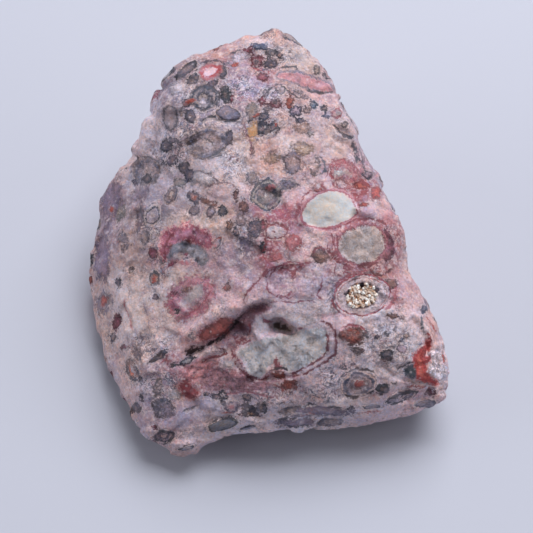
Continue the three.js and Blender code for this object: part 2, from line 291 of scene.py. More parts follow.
# Kinds of orb: the colours of their zones from the core out, and where each of the first four
# ends, as shares of the way from the edge in to the middle; then fibre strength and edge raggedness in mm.
ORB_KINDS = {
    "grey": ("#a79790", "#807478", "#484b5c", "#b6a49f", "#877d8a", (0.72, 0.38, 0.16, 0.05), 1.2, 0.05),
    "ashen": ("#9a8a86", "#827679", "#5e6072", "#a7968f", "#76717f", (0.70, 0.36, 0.14, 0.05), 1.3, 0.08),
    "dark": ("#806d6c", "#585260", "#363a4a", "#665a5c", "#8a8290", (0.75, 0.45, 0.14, 0.05), 1.7, 0.08),
    "black": ("#5f4e52", "#3b3a46", "#292d3c", "#524a54", "#857a88", (0.70, 0.45, 0.16, 0.06), 2.2, 0.09),
    "blue": ("#7b8092", "#565d72", "#343c50", "#68708a", "#8e8c9c", (0.75, 0.50, 0.16, 0.06), 1.3, 0.07),
    "cell": ("#b7a39e", "#a99aa2", "#a39498", "#4a4c5c", "#c4b4b0", (0.75, 0.50, 0.26, 0.12), 0.8, 0.04),
    "brown": ("#8e6b62", "#785a55", "#574048", "#806668", "#968590", (0.70, 0.42, 0.14, 0.05), 1.5, 0.09),
    "pinkcore": ("#b8747a", "#aa9298", "#525264", "#ab979a", "#746f80", (0.62, 0.42, 0.16, 0.05), 0.8, 0.05),
    "orangecore": ("#bc6248", "#8c6c68", "#474656", "#857a84", "#9a8d94", (0.56, 0.42, 0.16, 0.05), 1.2, 0.07),
    "whitecore": ("#d0c3c0", "#80767c", "#4c4e60", "#9a8c8c", "#646678", (0.84, 0.50, 0.26, 0.10), 1.2, 0.06),
    "conc": ("#bba8a2", "#5a5a6c", "#988a8c", "#3d4252", "#948990", (0.66, 0.50, 0.30, 0.12), 1.0, 0.05),
    "tan": ("#a58d83", "#9b857d", "#8f7a75", "#a8938d", "#ad9a96", (0.70, 0.40, 0.15, 0.06), 1.1, 0.14),
    "stain": ("#b8865c", "#b98b64", "#b89274", "#b69a8a", "#b69a8f", (0.60, 0.35, 0.15, 0.05), 0.5, 0.15),
    "redring": ("#c4a3a4", "#bd979b", "#96505a", "#bf9a9e", "#9a5c64", (0.60, 0.42, 0.20, 0.08), 0.8, 0.06),
    "lobed": ("#c2a6a2", "#b98b90", "#9c4f5a", "#b8868b", "#a3626a", (0.70, 0.46, 0.22, 0.08), 0.9, 0.10),
    "whitering": ("#74414b", "#c0b2ba", "#b39fa8", "#8a4b56", "#a98a93", (0.84, 0.40, 0.18, 0.05), 0.4, 0.04),
    "redspot": ("#a8544a", "#9c5350", "#935c5e", "#93706f", "#8b6d70", (0.60, 0.30, 0.12, 0.05), 1.0, 0.08),
    "maroon": ("#85485a", "#6f3c48", "#582e3c", "#79495a", "#8d6b7a", (0.70, 0.40, 0.15, 0.06), 1.8, 0.09),
    "rust": ("#8a4a40", "#743833", "#55282b", "#804648", "#96666a", (0.60, 0.35, 0.14, 0.05), 1.9, 0.09),
    "rose": ("#b5727a", "#ab626b", "#a05a63", "#b07f87", "#b58f96", (0.60, 0.35, 0.14, 0.05), 1.0, 0.12),
    "lens": ("#8f8488", "#7e7a88", "#6a6a7c", "#3a3e50", "#b3a39c", (0.70, 0.34, 0.16, 0.05), 0.7, 0.04),
    "plum": ("#857888", "#7f7285", "#7a6e82", "#877a88", "#948690", (0.60, 0.40, 0.20, 0.08), 1.0, 0.24),
    "white": ("#c3b8c0", "#bbafb7", "#b3a6ae", "#ab9ea5", "#a89aa0", (0.60, 0.35, 0.14, 0.05), 0.9, 0.12),
    "pale": ("#cabfbf", "#c4b8b8", "#bcb0b0", "#b5a6a8", "#b0a0a3", (0.60, 0.35, 0.14, 0.05), 0.9, 0.16),
    "crimson": ("#a98791", "#985f6e", "#8f4f60", "#a3707c", "#b99499", (0.62, 0.44, 0.16, 0.06), 1.5, 0.14),
}

# Orbs on the broad face, each as x, y, width, height in pixels of the picture frame, turn in degrees, kind.
LARGE_ORBS = [
    # the high end
    (187, 69, 30, 11, 33, "dark"), (195, 65, 9, 12, 0, "black"), (193, 79, 15, 10, 30, "dark"),
    (179, 87, 18, 15, 0, "white"), (188, 103, 13, 9, 0, "dark"),
    (197, 89, 10, 8, 0, "black"), (192, 117, 8, 15, 10, "dark"), (212, 83, 16, 8, 20, "dark"),
    (204, 97, 31, 30, 0, "conc"),
    (227, 95, 15, 20, 10, "black"), (233, 98, 5, 12, 0, "maroon"), (228, 114, 25, 15, -4, "lens"),
    (190, 117, 11, 19, 10, "dark"), (181, 112, 9, 9, 0, "ashen"), (252, 110, 14, 17, -15, "ashen"),
    (250, 119, 10, 5, 20, "black"), (256, 115, 9, 6, 30, "redspot"), (262, 128, 16, 18, 0, "black"),
    (274, 128, 12, 15, 0, "black"), (264, 116, 13, 9, 0, "dark"), (253, 130, 13, 20, 0, "stain"),
    (276, 103, 16, 10, 5, "maroon"), (290, 101, 8, 14, 0, "rust"), (296, 112, 14, 13, 0, "dark"),
    (265, 93, 11, 8, 25, "cell"), (283, 90, 10, 9, 0, "cell"), (275, 94, 11, 8, 20, "cell"),
    (262, 101, 12, 9, 0, "maroon"), (262, 77, 13, 9, 0, "maroon"), (269, 110, 12, 7, 0, "ashen"),
    (303, 97, 12, 5, -25, "ashen"),
    (312, 104, 13, 8, -25, "blue"), (324, 108, 9, 6, 0, "dark"), (326, 116, 10, 8, -15, "blue"),
    (306, 110, 10, 7, 0, "ashen"), (297, 91, 9, 6, -25, "ashen"), (337, 113, 12, 11, 0, "redring"),
    (303, 121, 12, 7, -15, "dark"), (303, 128, 18, 14, 0, "tan"), (310, 134, 6, 8, 0, "ashen"),
    (271, 52, 15, 9, 0, "black"), (261, 46, 22, 7, -12, "blue"), (256, 61, 15, 15, 0, "maroon"),
    (270, 64, 16, 12, -20, "dark"), (278, 55, 6, 10, 0, "dark"), (248, 49, 15, 7, 10, "maroon"),
    (240, 57, 20, 10, 15, "white"), (223, 72, 11, 16, 15, "dark"), (316, 70, 11, 9, -35, "ashen"),
    (234, 65, 10, 5, 10, "redspot"), (345, 124, 8, 9, 0, "grey"),
    # upper left
    (147, 171, 29, 29, 0, "ashen"), (166, 146, 13, 13, 0, "dark"), (172, 140, 14, 6, 0, "dark"),
    (184, 137, 8, 6, 20, "cell"), (181, 144, 5, 8, 0, "dark"), (208, 143, 46, 32, 12, "ashen"),
    (230, 139, 9, 17, 0, "dark"), (164, 162, 9, 6, 0, "dark"), (173, 159, 13, 11, 0, "dark"),
    (184, 167, 13, 12, 0, "dark"), (190, 175, 13, 13, 0, "dark"), (180, 183, 13, 12, 0, "ashen"),
    (203, 178, 27, 15, 0, "white"), (193, 198, 14, 16, 0, "orangecore"), (194, 212, 12, 12, 0, "grey"),
    (211, 212, 13, 14, 0, "grey"), (222, 212, 10, 12, 20, "dark"), (229, 225, 9, 9, 0, "brown"),
    (236, 232, 6, 11, 0, "dark"), (171, 195, 11, 22, -25, "grey"), (153, 215, 14, 22, -30, "cell"),
    (139, 194, 20, 15, 20, "plum"), (136, 182, 8, 8, 0, "dark"), (154, 236, 9, 12, -10, "cell"),
    (112, 200, 26, 40, 0, "plum"), (120, 212, 13, 20, 0, "ashen"), (134, 162, 14, 14, 0, "ashen"),
    (208, 203, 22, 7, -12, "brown"), (236, 195, 7, 14, 0, "brown"), (251, 178, 14, 13, 0, "ashen"),
    # centre
    (266, 194, 32, 31, 0, "whitecore"), (287, 184, 22, 12, -5, "ashen"), (272, 158, 17, 14, 0, "tan"),
    (293, 162, 20, 22, 0, "ashen"), (302, 149, 26, 14, 0, "tan"), (315, 166, 12, 22, 0, "ashen"),
    (345, 172, 36, 24, -20, "lobed"),
    (275, 231, 23, 15, 0, "whitering"), (293, 242, 20, 19, 0, "rose"), (245, 206, 12, 14, 0, "brown"),
    (320, 256, 17, 15, 0, "brown"), (228, 289, 9, 9, 0, "brown"), (251, 151, 6, 13, 0, "brown"),
    (275, 257, 15, 10, 20, "rose"), (262, 226, 9, 12, 0, "maroon"), (262, 247, 9, 12, 0, "black"),
    (254, 228, 14, 18, 0, "dark"), (246, 244, 12, 16, 0, "plum"), (242, 220, 12, 12, 0, "ashen"),
    (367, 175, 13, 9, -25, "dark"), (390, 285, 17, 11, -10, "brown"), (387, 246, 14, 34, 0, "maroon"),
    (376, 193, 12, 16, 0, "redspot"), (364, 203, 11, 6, 0, "redspot"), (318, 190, 8, 5, 0, "redspot"),
    # the two eyes and the left flank
    (216, 244, 9, 14, -30, "cell"), (218, 238, 5, 5, 0, "redspot"), (154, 252, 12, 10, 0, "maroon"),
    (163, 258, 9, 13, 0, "dark"), (155, 279, 15, 17, 10, "orangecore"), (155, 298, 8, 9, 0, "grey"),
    (131, 271, 6, 6, 0, "dark"), (119, 283, 9, 12, 20, "dark"), (103, 303, 18, 21, 0, "plum"),
    (117, 321, 9, 18, 0, "maroon"), (113, 337, 10, 11, 10, "dark"), (132, 371, 15, 25, 12, "orangecore"),
    (138, 353, 9, 13, 0, "plum"), (124, 347, 9, 6, 0, "maroon"), (123, 239, 11, 20, 0, "plum"),
    (102, 257, 18, 52, 0, "plum"), (145, 238, 9, 17, 0, "ashen"), (139, 379, 8, 8, 0, "black"),
    (158, 356, 26, 7, 38, "dark"), (226, 289, 7, 6, 0, "redspot"), (140, 220, 8, 30, 0, "plum"),
    # under the step
    (187, 361, 20, 9, 28, "black"), (173, 366, 11, 6, 20, "black"), (163, 408, 25, 22, 0, "dark"),
    (157, 388, 9, 22, -10, "ashen"), (174, 395, 14, 10, 0, "white"), (136, 408, 11, 12, 0, "dark"),
    (163, 437, 23, 14, 8, "conc"), (222, 425, 32, 12, 12, "lens"), (248, 428, 18, 4, 10, "lens"),
    (290, 411, 27, 11, 0, "ashen"), (316, 412, 60, 11, 3, "plum"), (296, 423, 40, 9, 3, "plum"),
    (248, 407, 17, 9, 0, "black"), (250, 413, 25, 9, 4, "black"), (262, 408, 12, 14, 0, "dark"),
    (247, 397, 13, 9, 10, "dark"), (222, 394, 11, 11, 6, "black"), (215, 396, 10, 6, -20, "dark"),
    (206, 395, 8, 5, 10, "dark"), (234, 389, 8, 6, 0, "dark"), (222, 402, 7, 5, 0, "dark"),
    (232, 407, 17, 14, 0, "pinkcore"), (143, 399, 6, 11, 0, "dark"), (155, 427, 11, 6, 0, "maroon"),
    (186, 448, 18, 5, 18, "lens"), (278, 375, 17, 10, 0, "rust"), (290, 385, 18, 12, 0, "rust"),
    (207, 374, 9, 7, 0, "maroon"), (216, 378, 12, 5, 0, "brown"), (226, 371, 11, 6, 0, "brown"),
    (340, 412, 30, 8, 4, "plum"), (330, 422, 30, 9, 4, "ashen"), (193, 336, 9, 8, 0, "ashen"),
    # lower right
    (352, 334, 26, 19, 0, "rust"), (358, 351, 13, 8, 0, "brown"), (393, 317, 13, 7, 8, "brown"),
    (403, 318, 10, 6, 0, "ashen"), (386, 356, 14, 12, 0, "dark"), (358, 384, 37, 27, 4, "grey"),
    (382, 389, 15, 13, 5, "black"), (394, 384, 7, 5, 0, "dark"), (400, 397, 31, 10, 17, "lens"),
    (370, 392, 7, 6, 0, "dark"), (425, 310, 7, 10, 0, "blue"), (421, 345, 8, 5, 0, "blue"),
    (431, 392, 11, 10, 0, "maroon"), (402, 350, 13, 10, 0, "cell"), (376, 336, 8, 7, 0, "dark"),
    (385, 333, 7, 5, 0, "dark"), (371, 407, 20, 5, 2, "lens"), (350, 409, 12, 5, 0, "dark"),
    (425, 404, 22, 8, 8, "lens"), (407, 336, 8, 6, 0, "ashen"), (401, 340, 9, 7, 0, "blue"),
]
# Smaller marks inside those or over them, in the same way.
SMALL_ORBS = [
    (147, 178, 14, 10, 0, "dark"), (210, 147, 15, 9, 20, "white"), (197, 150, 15, 12, 0, "ashen"),
    (204, 102, 9, 12, -20, "white"), (191, 102, 12, 5, 15, "redspot"), (296, 112, 6, 5, 0, "white"),
    (270, 195, 6, 6, 0, "white"), (270, 188, 11, 6, 15, "rose"), (290, 184, 12, 6, 0, "plum"),
    (345, 177, 10, 7, -15, "redring"), (338, 172, 9, 8, 0, "pale"), (337, 113, 5, 4, 0, "white"),
    (276, 124, 4, 4, 0, "redspot"), (268, 131, 4, 6, 0, "tan"), (112, 209, 7, 6, 0, "redspot"),
    (187, 361, 7, 4, 20, "white"), (222, 394, 4, 4, 0, "white"), (247, 397, 6, 4, 0, "tan"),
    (359, 385, 10, 8, 0, "redspot"), (350, 330, 8, 6, 0, "redspot"), (365, 334, 7, 8, 0, "dark"),
    (168, 411, 13, 13, 0, "plum"), (404, 396, 9, 4, 12, "white"), (404, 373, 9, 10, 0, "white"),
    (104, 301, 9, 12, 0, "redspot"), (154, 281, 8, 8, 0, "redspot"), (133, 370, 5, 11, 8, "pale"),
    (212, 212, 5, 5, 0, "white"), (191, 198, 4, 4, 0, "redspot"), (178, 310, 7, 6, 0, "black"),
    (250, 414, 14, 3, 4, "tan"), (358, 352, 6, 5, 0, "dark"), (384, 361, 7, 5, 0, "brown"),
    (366, 174, 5, 3, 0, "white"), (158, 388, 5, 10, -10, "pale"), (256, 62, 6, 5, 0, "dark"),
    (432, 391, 4, 4, 0, "pale"), (163, 260, 4, 6, 0, "pale"), (276, 101, 5, 4, 0, "dark"),
]
# Marks that lie over both, on the layer of the inclusions, in the same way. The three black ones at the hollow's edge
# are painted shade in the gaps of its crust.
INNER_ORBS_AND_PAINTED_SHADE = [
    (360, 296, 30, 20, 6, "brown"),
    (169, 243, 7, 11, 12, "rust"), (190, 241, 6, 9, 0, "rust"), (181, 234, 5, 7, 10, "rust"),
    (186, 251, 6, 6, 0, "maroon"), (199, 259, 15, 12, -35, "black"), (193, 258, 6, 5, 0, "white"),
    (172, 264, 11, 5, 10, "maroon"), (183, 263, 8, 5, 0, "rose"), (178, 256, 9, 7, 0, "pale"),
    (188, 289, 11, 5, 12, "brown"), (204, 282, 9, 4, 0, "dark"), (174, 296, 8, 9, 0, "maroon"),
    # painted shade: black in the bare gaps at the edge of the hollow's crust
    (347, 292, 8, 6, 40, "black"), (361, 284, 6, 3.5, 0, "black"), (376.5, 290, 5, 8, 0, "black"),
    (302, 327, 5, 5, 0, "maroon"), (323, 338, 4, 4, 0, "brown"), (313, 343, 4, 7, 0, "tan"),
    (282, 364, 5, 12, -10, "rose"), (311, 161, 8, 9, 0, "pale"), (362, 186, 17, 7, 0, "rust"),
]

# Inclusions with an outline of their own, as points in the picture frame, each on its layer of markings. Two dark ones
# at the step, at its root and in the pit, are painted shade.
# Colours as in ORB_KINDS, but the four ends are mm in from the outline, and below zero outside it; then fibre
# strength, raggedness, and how calm it is: the share of the grain that clear silica doesn't show.
INCLUSIONS_AND_PAINTED_SHADE = [
    # the lined hollow and its two red rings
    ("nested", "#c6b8ba", "#bfb0b4", "#8a4753", "#d6bec4", "#8f4753", (0.9, 0.08, -0.10, -0.26), 1.9, 0.03, 0.1, [
        (337, 298), (338, 290), (343, 284), (351, 280), (362, 277), (375, 279), (384, 284), (388, 292),
        (386, 300), (379, 308), (366, 313), (352, 312), (342, 307)]),
    ("inclusions", "#e8dcde", "#e2d6d8", "#d8cace", "#c9bbc0", "#bfb0b6", (0.5, 0.3, 0.1, -0.05), 1.4, 0.06, 0.0, [
        (342, 304), (352, 308), (364, 308), (374, 305), (380, 299), (377, 307), (366, 312), (353, 311), (345, 308)]),
    # a pale band below it
    ("inclusions", "#e6d2d9", "#e0cad2", "#d6bac4", "#c9a9b2", "#bd9ca6", (0.6, 0.3, 0.1, -0.10), 0.8, 0.10, 0.2, [
        (321, 320), (329, 315), (341, 315), (352, 319), (353, 325), (345, 327), (335, 330), (330, 326), (325, 322)]),
    # clear silica, from the high end down
    ("inclusions", "#b5b6b2", "#b0b1ad", "#bcaeae", "#8d5660", "#a97d86", (0.7, 0.0, -0.14, -0.32), 0.35, 0.04, 0.85, [
        (303, 214), (307, 204), (317, 197), (330, 192), (341, 193), (349, 199), (355, 207), (356, 213),
        (349, 218), (342, 221), (333, 225), (321, 227), (309, 223), (304, 219)]),
    ("inclusions", "#908682", "#8b807c", "#a89e9d", "#70434c", "#8a5c66", (1.0, 0.3, -0.05, -0.25), 2.2, 0.07, 0.2, [
        (341, 238), (347, 232), (357, 228), (368, 226), (377, 228), (382, 234), (384, 243), (382, 252),
        (376, 259), (365, 263), (352, 262), (342, 256), (338, 247)]),
    ("inclusions", "#aeadae", "#a7a7a9", "#b7adb1", "#b9a8ae", "#b7a2aa", (0.8, 0.15, -0.02, -0.12), 2.4, 0.10, 0.1, [
        (237, 350), (249, 343), (262, 339), (275, 336), (290, 333), (303, 329), (314, 327), (327, 329),
        (331, 339), (330, 350), (322, 358), (309, 365), (299, 371), (290, 373), (283, 369), (279, 366), (276, 356),
        (272, 365), (267, 369), (262, 377), (256, 380), (250, 377), (246, 370), (247, 363), (241, 358)]),
    ("nested", "#d2c0cc", "#c8b6c2", "#bda9b6", "#b099a6", "#a8909c", (0.5, 0.3, 0.1, -0.05), 1.9, 0.09, 0.0, [
        (239, 352), (250, 347), (260, 346), (266, 351), (260, 356), (262, 363), (257, 375), (251, 371), (248, 362)]),
    ("nested", "#c9cdd0", "#c0c5c9", "#b3b6bc", "#a5a6ad", "#9c9ca4", (0.5, 0.3, 0.1, -0.05), 1.9, 0.09, 0.0, [
        (262, 358), (272, 356), (283, 352), (296, 351), (308, 352), (316, 355), (308, 362), (298, 365), (290, 366),
        (284, 358), (276, 366), (266, 368)]),
    ("nested", "#b5afb5", "#afa9b0", "#ab9fa6", "#a58f98", "#a58f98", (0.6, 0.3, 0.1, 0.0), 1.2, 0.08, 0.2, [
        (221, 361), (227, 357), (235, 358), (238, 366), (232, 370), (223, 367)]),
    # the upper eye: a crimson crescent over a grey one, and the lower eye's ring
    ("inclusions", "#a97684", "#a06474", "#8a3e4c", "#b5808a", "#c69d98", (0.75, 0.35, 0.05, -0.15), 2.0, 0.14, 0.0, [
        (160, 255), (160, 243), (164, 234), (173, 228), (184, 225), (195, 226), (206, 231), (213, 239),
        (214, 248), (205, 248), (194, 243), (182, 240), (173, 244), (168, 252), (165, 262)]),
    ("inclusions", "#85838a", "#76757d", "#6c6a73", "#85757d", "#9b858c", (0.6, 0.3, 0.1, -0.05), 2.6, 0.09, 0.0, [
        (168, 260), (168, 250), (174, 243), (184, 240), (194, 243), (205, 248), (210, 257), (206, 268),
        (198, 266), (192, 258), (184, 253), (177, 252), (173, 257)]),
    ("orbs", "#b9a8a8", "#a38790", "#a0576d", "#b57a89", "#cba4a5", (1.75, 1.35, 0.75, 0.15), 1.1, 0.22, 0.1, [
        (165, 307), (167, 294), (175, 283), (188, 275), (202, 274), (213, 281), (217, 292), (212, 305),
        (202, 315), (189, 322), (175, 321)]),
    ("inclusions", "#b3acaf", "#aea6a9", "#aaa0a3", "#a7969b", "#a58f96", (0.6, 0.3, 0.1, -0.05), 1.0, 0.10, 0.3, [
        (183, 298), (189, 292), (193, 286), (200, 284), (204, 289), (202, 296), (194, 301), (185, 303)]),
    # at the high end: a long pink one, a red ring with its pale middle, and a dark cup
    ("inclusions", "#b2888e", "#ab7c84", "#b99b9e", "#5f5f70", "#8f8188", (0.40, 0.10, 0.0, -0.10), 1.5, 0.05, 0.0, [
        (273, 77), (285, 72), (298, 72), (310, 77), (322, 80), (332, 86), (333, 91), (322, 92), (306, 87),
        (291, 81)]),
    ("inclusions", "#c3adb8", "#bda5b0", "#97424b", "#9f5760", "#8d6a70", (0.45, 0.32, 0.06, -0.02), 0.8, 0.06, 0.3, [
        (201, 68), (207, 65), (219, 65), (223, 70), (216, 77), (205, 80), (201, 75)]),
    ("inclusions", "#a08e90", "#938487", "#837a80", "#4c4852", "#857b82", (0.75, 0.45, 0.20, 0.02), 1.2, 0.05, 0.0, [
        (162, 110), (162, 121), (166, 129), (171, 132), (176, 127), (178, 116), (176, 108), (168, 104)]),
    # the step's iron, a rusty lip and the mass below it, and the root of the step, painted dark as shade
    ("inclusions", "#7c3c39", "#6f3433", "#602e32", "#7f4c51", "#96777d", (0.6, 0.25, 0.05, -0.10), 2.2, 0.09, 0.0, [
        (198, 336), (202, 329), (212, 325), (218, 319), (228, 319), (238, 319), (236, 327), (226, 334),
        (213, 339), (202, 341)]),
    # painted shade: the dark root of the step, under its overhang
    ("inclusions", "#7a5963", "#73535f", "#765a66", "#86707b", "#947f89", (0.5, 0.2, 0.05, -0.10), 1.8, 0.10, 0.0, [
        (226, 326), (238, 316), (248, 309), (262, 304), (272, 307), (262, 314), (252, 320), (250, 332),
        (240, 334), (229, 333)]),
    ("nested", "#8a3c44", "#853a43", "#8c464d", "#a3666c", "#ab8085", (0.5, 0.2, 0.05, -0.10), 0.8, 0.08, 0.4, [
        (178, 387), (181, 380), (187, 380), (192, 386), (199, 391), (196, 397), (190, 400), (184, 396)]),
    ("nested", "#dca4a6", "#d29294", "#c47e84", "#b9828b", "#b48a92", (0.6, 0.3, 0.10, -0.15), 1.8, 0.12, 0.0, [
        (184, 378), (186, 369), (197, 362), (210, 357), (219, 359), (216, 366), (206, 371), (198, 379),
        (190, 381)]),
    ("nested", "#a98088", "#a2767f", "#9c6e79", "#a07983", "#a48690", (0.6, 0.3, 0.10, -0.15), 2.0, 0.14, 0.0, [
        (200, 377), (214, 370), (228, 368), (240, 374), (254, 381), (270, 384), (268, 391), (240, 390),
        (218, 388), (204, 387)]),
    # painted shade: the near-black pit in the step
    ("inclusions", "#40362f", "#3d322d", "#54483f", "#8b8278", "#9f979a", (0.5, 0.25, 0.08, -0.05), 0.8, 0.05, 0.0, [
        (272, 322), (276, 319), (282, 322), (288, 327), (294, 332), (286, 332), (277, 330), (271, 328)]),
    ("inclusions", "#c0b7ba", "#bab0b4", "#b6abb0", "#b3a4aa", "#b3a4aa", (0.6, 0.3, 0.1, -0.1), 1.8, 0.14, 0.1, [
        (254, 324), (262, 314), (280, 312), (296, 314), (310, 312), (318, 318), (318, 326), (300, 330),
        (290, 325), (275, 320), (266, 332), (256, 338)]),
    # the broken corner
    ("inclusions", "#c06458", "#a8433f", "#8a3036", "#b0605e", "#b58a88", (0.5, 0.22, 0.02, -0.08), 2.4, 0.07, 0.0, [
        (412, 360), (415, 354), (419, 350), (425, 345), (428, 337), (431, 345), (427, 351), (424, 357), (431, 359),
        (426, 364), (425, 372), (433, 379), (439, 385), (430, 384), (419, 380), (414, 374), (415, 366)]),
    ("nested", "#d6ccd0", "#cdc2c7", "#c4b8bd", "#b9a9ae", "#b9a0a3", (0.6, 0.2, 0.04, -0.06), 3.0, 0.10, 0.0, [
        (427, 366), (431, 360), (438, 361), (446, 367), (448, 375), (444, 383), (438, 384), (429, 376)]),
    ("nested", "#cfc4c9", "#c5b9bf", "#b9acb2", "#a99ba1", "#b9a0a3", (0.6, 0.2, 0.04, -0.06), 3.0, 0.10, 0.0, [
        (427, 352), (433, 348), (442, 351), (446, 358), (439, 361), (430, 358)]),
    ("inclusions", "#4a5258", "#3a414a", "#30353f", "#5c5c66", "#b5a9ad", (0.6, 0.25, 0.08, -0.10), 3.2, 0.08, 0.0, [
        (403, 368), (409, 364), (415, 366), (417, 373), (414, 379), (408, 377), (405, 373)]),
]

MINERALS = {"cream": "#c6b1a6", "peach": "#c4a08f", "ochre": "#bc8d5e", "lilac": "#a99fb8", "mauve": "#9d8fa3",
            "plum": "#88788b", "rose": "#a05262", "blush": "#c4a2a8", "salmon": "#c6958a",
            "buff": "#b59b92", "ash": "#aca6b8", "rust": "#84444a", "snow": "#e0d3d8", "slate": "#686678",
            "mist": "#c8bcc8", "frost": "#f0e8ea", "petal": "#ecced0"}
# Stains in the body of the rock, some partly painted light and shade, as x, y, width, height in pixels of the picture
# frame, and mineral.
# The pale snow, mist and frost stains on the end wall and the lower right are partly painted fill light for faces
# turned from the window, and the slate and mauve ones at the high end are partly painted shade.
STAINS_AND_PAINTED_LIGHT = [
    (215, 362, 20, 14, "frost"), (252, 334, 40, 14, "petal"), (280, 322, 40, 14, "petal"), (434, 408, 40, 20, "petal"),
    (242, 366, 16, 20, "rust"), (383, 405, 30, 16, "mauve"), (380, 386, 20, 16, "mauve"), (150, 410, 30, 30, "mauve"),
    (362, 190, 30, 24, "rust"), (345, 215, 90, 90, "rose"), (215, 335, 60, 30, "rose"), (215, 378, 70, 24, "rose"),
    (204, 84, 50, 40, "slate"), (242, 50, 24, 16, "plum"), (245, 410, 40, 16, "blush"), (264, 406, 40, 16, "mist"),
    (252, 362, 36, 24, "rose"), (360, 240, 30, 30, "rose"), (146, 194, 40, 44, "slate"), (204, 108, 50, 30, "mauve"),
    (168, 96, 24, 40, "slate"), (345, 306, 60, 18, "frost"), (264, 46, 40, 16, "frost"),
    (340, 360, 24, 24, "petal"), (375, 362, 80, 34, "frost"), (405, 362, 24, 24, "frost"), (312, 384, 26, 20, "petal"),
    (396, 336, 44, 22, "frost"), (214, 361, 34, 22, "frost"), (244, 344, 20, 14, "petal"), (438, 386, 24, 24, "frost"),
    (414, 382, 30, 24, "petal"), (425, 404, 50, 26, "petal"), (400, 418, 50, 20, "petal"), (205, 193, 50, 18, "snow"),
    (312, 192, 30, 20, "petal"), (288, 192, 24, 18, "petal"), (325, 118, 40, 24, "mist"), (290, 146, 24, 16, "frost"),
    (170, 312, 24, 24, "frost"), (216, 314, 24, 16, "frost"), (336, 266, 30, 20, "frost"), (288, 288, 24, 24, "rose"),
    (200, 264, 40, 12, "rose"), (242, 96, 20, 20, "rose"), (290, 432, 160, 20, "frost"), (350, 318, 50, 14, "frost"),
    (385, 314, 26, 14, "frost"), (290, 410, 90, 16, "frost"), (335, 410, 60, 16, "frost"), (145, 165, 40, 40, "snow"),
    (215, 52, 60, 16, "salmon"), (270, 38, 50, 14, "salmon"), (300, 60, 36, 34, "cream"), (325, 100, 30, 26, "blush"),
    (244, 84, 30, 40, "lilac"), (300, 140, 60, 50, "buff"), (335, 145, 30, 40, "cream"), (256, 130, 26, 26, "ochre"),
    (235, 160, 30, 40, "cream"), (228, 172, 40, 30, "snow"), (270, 170, 50, 14, "peach"), (268, 150, 30, 20, "salmon"),
    (217, 192, 34, 16, "blush"), (196, 114, 70, 56, "slate"), (160, 135, 30, 50, "snow"), (150, 190, 50, 50, "ash"),
    (130, 165, 30, 40, "cream"), (190, 80, 30, 40, "slate"),
    (112, 215, 26, 60, "plum"), (132, 235, 26, 60, "buff"), (195, 222, 60, 18, "cream"), (130, 305, 46, 70, "cream"),
    (155, 320, 50, 30, "buff"), (148, 342, 36, 22, "snow"), (215, 275, 50, 40, "blush"), (190, 225, 64, 26, "cream"),
    (188, 272, 60, 20, "cream"), (205, 322, 50, 20, "blush"), (205, 320, 50, 16, "snow"),
    (243, 262, 26, 20, "slate"), (250, 232, 30, 40, "slate"), (222, 262, 20, 24, "mauve"), (278, 212, 46, 22, "rose"),
    (278, 216, 34, 14, "rose"), (272, 210, 40, 20, "rose"), (268, 246, 26, 40, "rose"), (315, 238, 32, 26, "snow"),
    (292, 258, 20, 16, "blush"),
    (325, 186, 60, 18, "snow"), (290, 196, 40, 14, "blush"), (360, 192, 24, 24, "rose"),
    (286, 240, 24, 24, "rose"), (408, 262, 14, 40, "cream"), (262, 72, 24, 20, "rose"), (312, 160, 26, 40, "mauve"),
    (375, 207, 26, 20, "snow"), (392, 235, 14, 40, "salmon"), (290, 282, 60, 30, "lilac"), (300, 308, 110, 22, "snow"),
    (370, 362, 50, 24, "snow"), (412, 386, 30, 16, "snow"),
    (168, 360, 24, 24, "rose"), (288, 384, 24, 24, "rust"), (122, 305, 20, 60, "snow"), (222, 410, 24, 20, "snow"),
    (435, 365, 26, 40, "snow"), (400, 430, 40, 16, "blush"),
    (312, 282, 20, 30, "ash"), (255, 290, 30, 26, "blush"), (335, 285, 22, 40, "mauve"), (408, 290, 22, 50, "blush"),
    (408, 320, 30, 30, "snow"), (338, 320, 44, 14, "snow"), (385, 319, 30, 8, "blush"), (385, 345, 60, 40, "frost"),
    (325, 385, 50, 40, "mist"), (275, 396, 40, 14, "blush"), (340, 360, 20, 20, "salmon"), (338, 322, 46, 12, "snow"),
    (398, 335, 40, 20, "snow"), (205, 405, 40, 26, "ash"),
    (175, 415, 70, 34, "mauve"), (128, 392, 20, 50, "blush"), (160, 375, 30, 40, "mauve"), (235, 422, 70, 16, "snow"),
    (275, 418, 60, 20, "mist"), (205, 440, 70, 16, "mist"), (150, 345, 50, 36, "cream"), (130, 310, 40, 60, "cream"),
    (370, 412, 60, 16, "mist"), (128, 385, 20, 40, "cream"), (150, 130, 30, 60, "snow"), (208, 328, 24, 14, "salmon"),
    (432, 330, 16, 40, "salmon"), (441, 385, 16, 40, "salmon"), (418, 396, 36, 12, "rose"), (300, 320, 70, 14, "snow"),
    (213, 350, 34, 10, "snow"), (400, 410, 60, 16, "snow"), (178, 275, 40, 16, "cream"), (222, 310, 40, 20, "blush"),
    (205, 372, 50, 22, "rose"), (230, 380, 60, 16, "rose"), (290, 384, 30, 12, "rust"), (240, 344, 20, 20, "rose"),
    (340, 262, 34, 14, "rose"), (372, 270, 40, 12, "rust"), (388, 225, 18, 20, "rose"), (366, 188, 30, 16, "rust"),
    (395, 296, 12, 34, "rose"), (166, 262, 30, 12, "rose"), (113, 210, 16, 12, "rose"), (336, 400, 60, 16, "cream"),
]
# Patches where red iron fills a net of fine cracks, as x, y, width, height.
WEB_PATCHES = [(285, 268, 60, 14), (268, 245, 26, 50), (392, 245, 22, 50), (240, 342, 22, 26), (335, 187, 60, 14),
               (372, 268, 46, 12), (235, 380, 80, 16), (300, 214, 14, 30), (340, 270, 30, 16), (168, 360, 24, 24)]
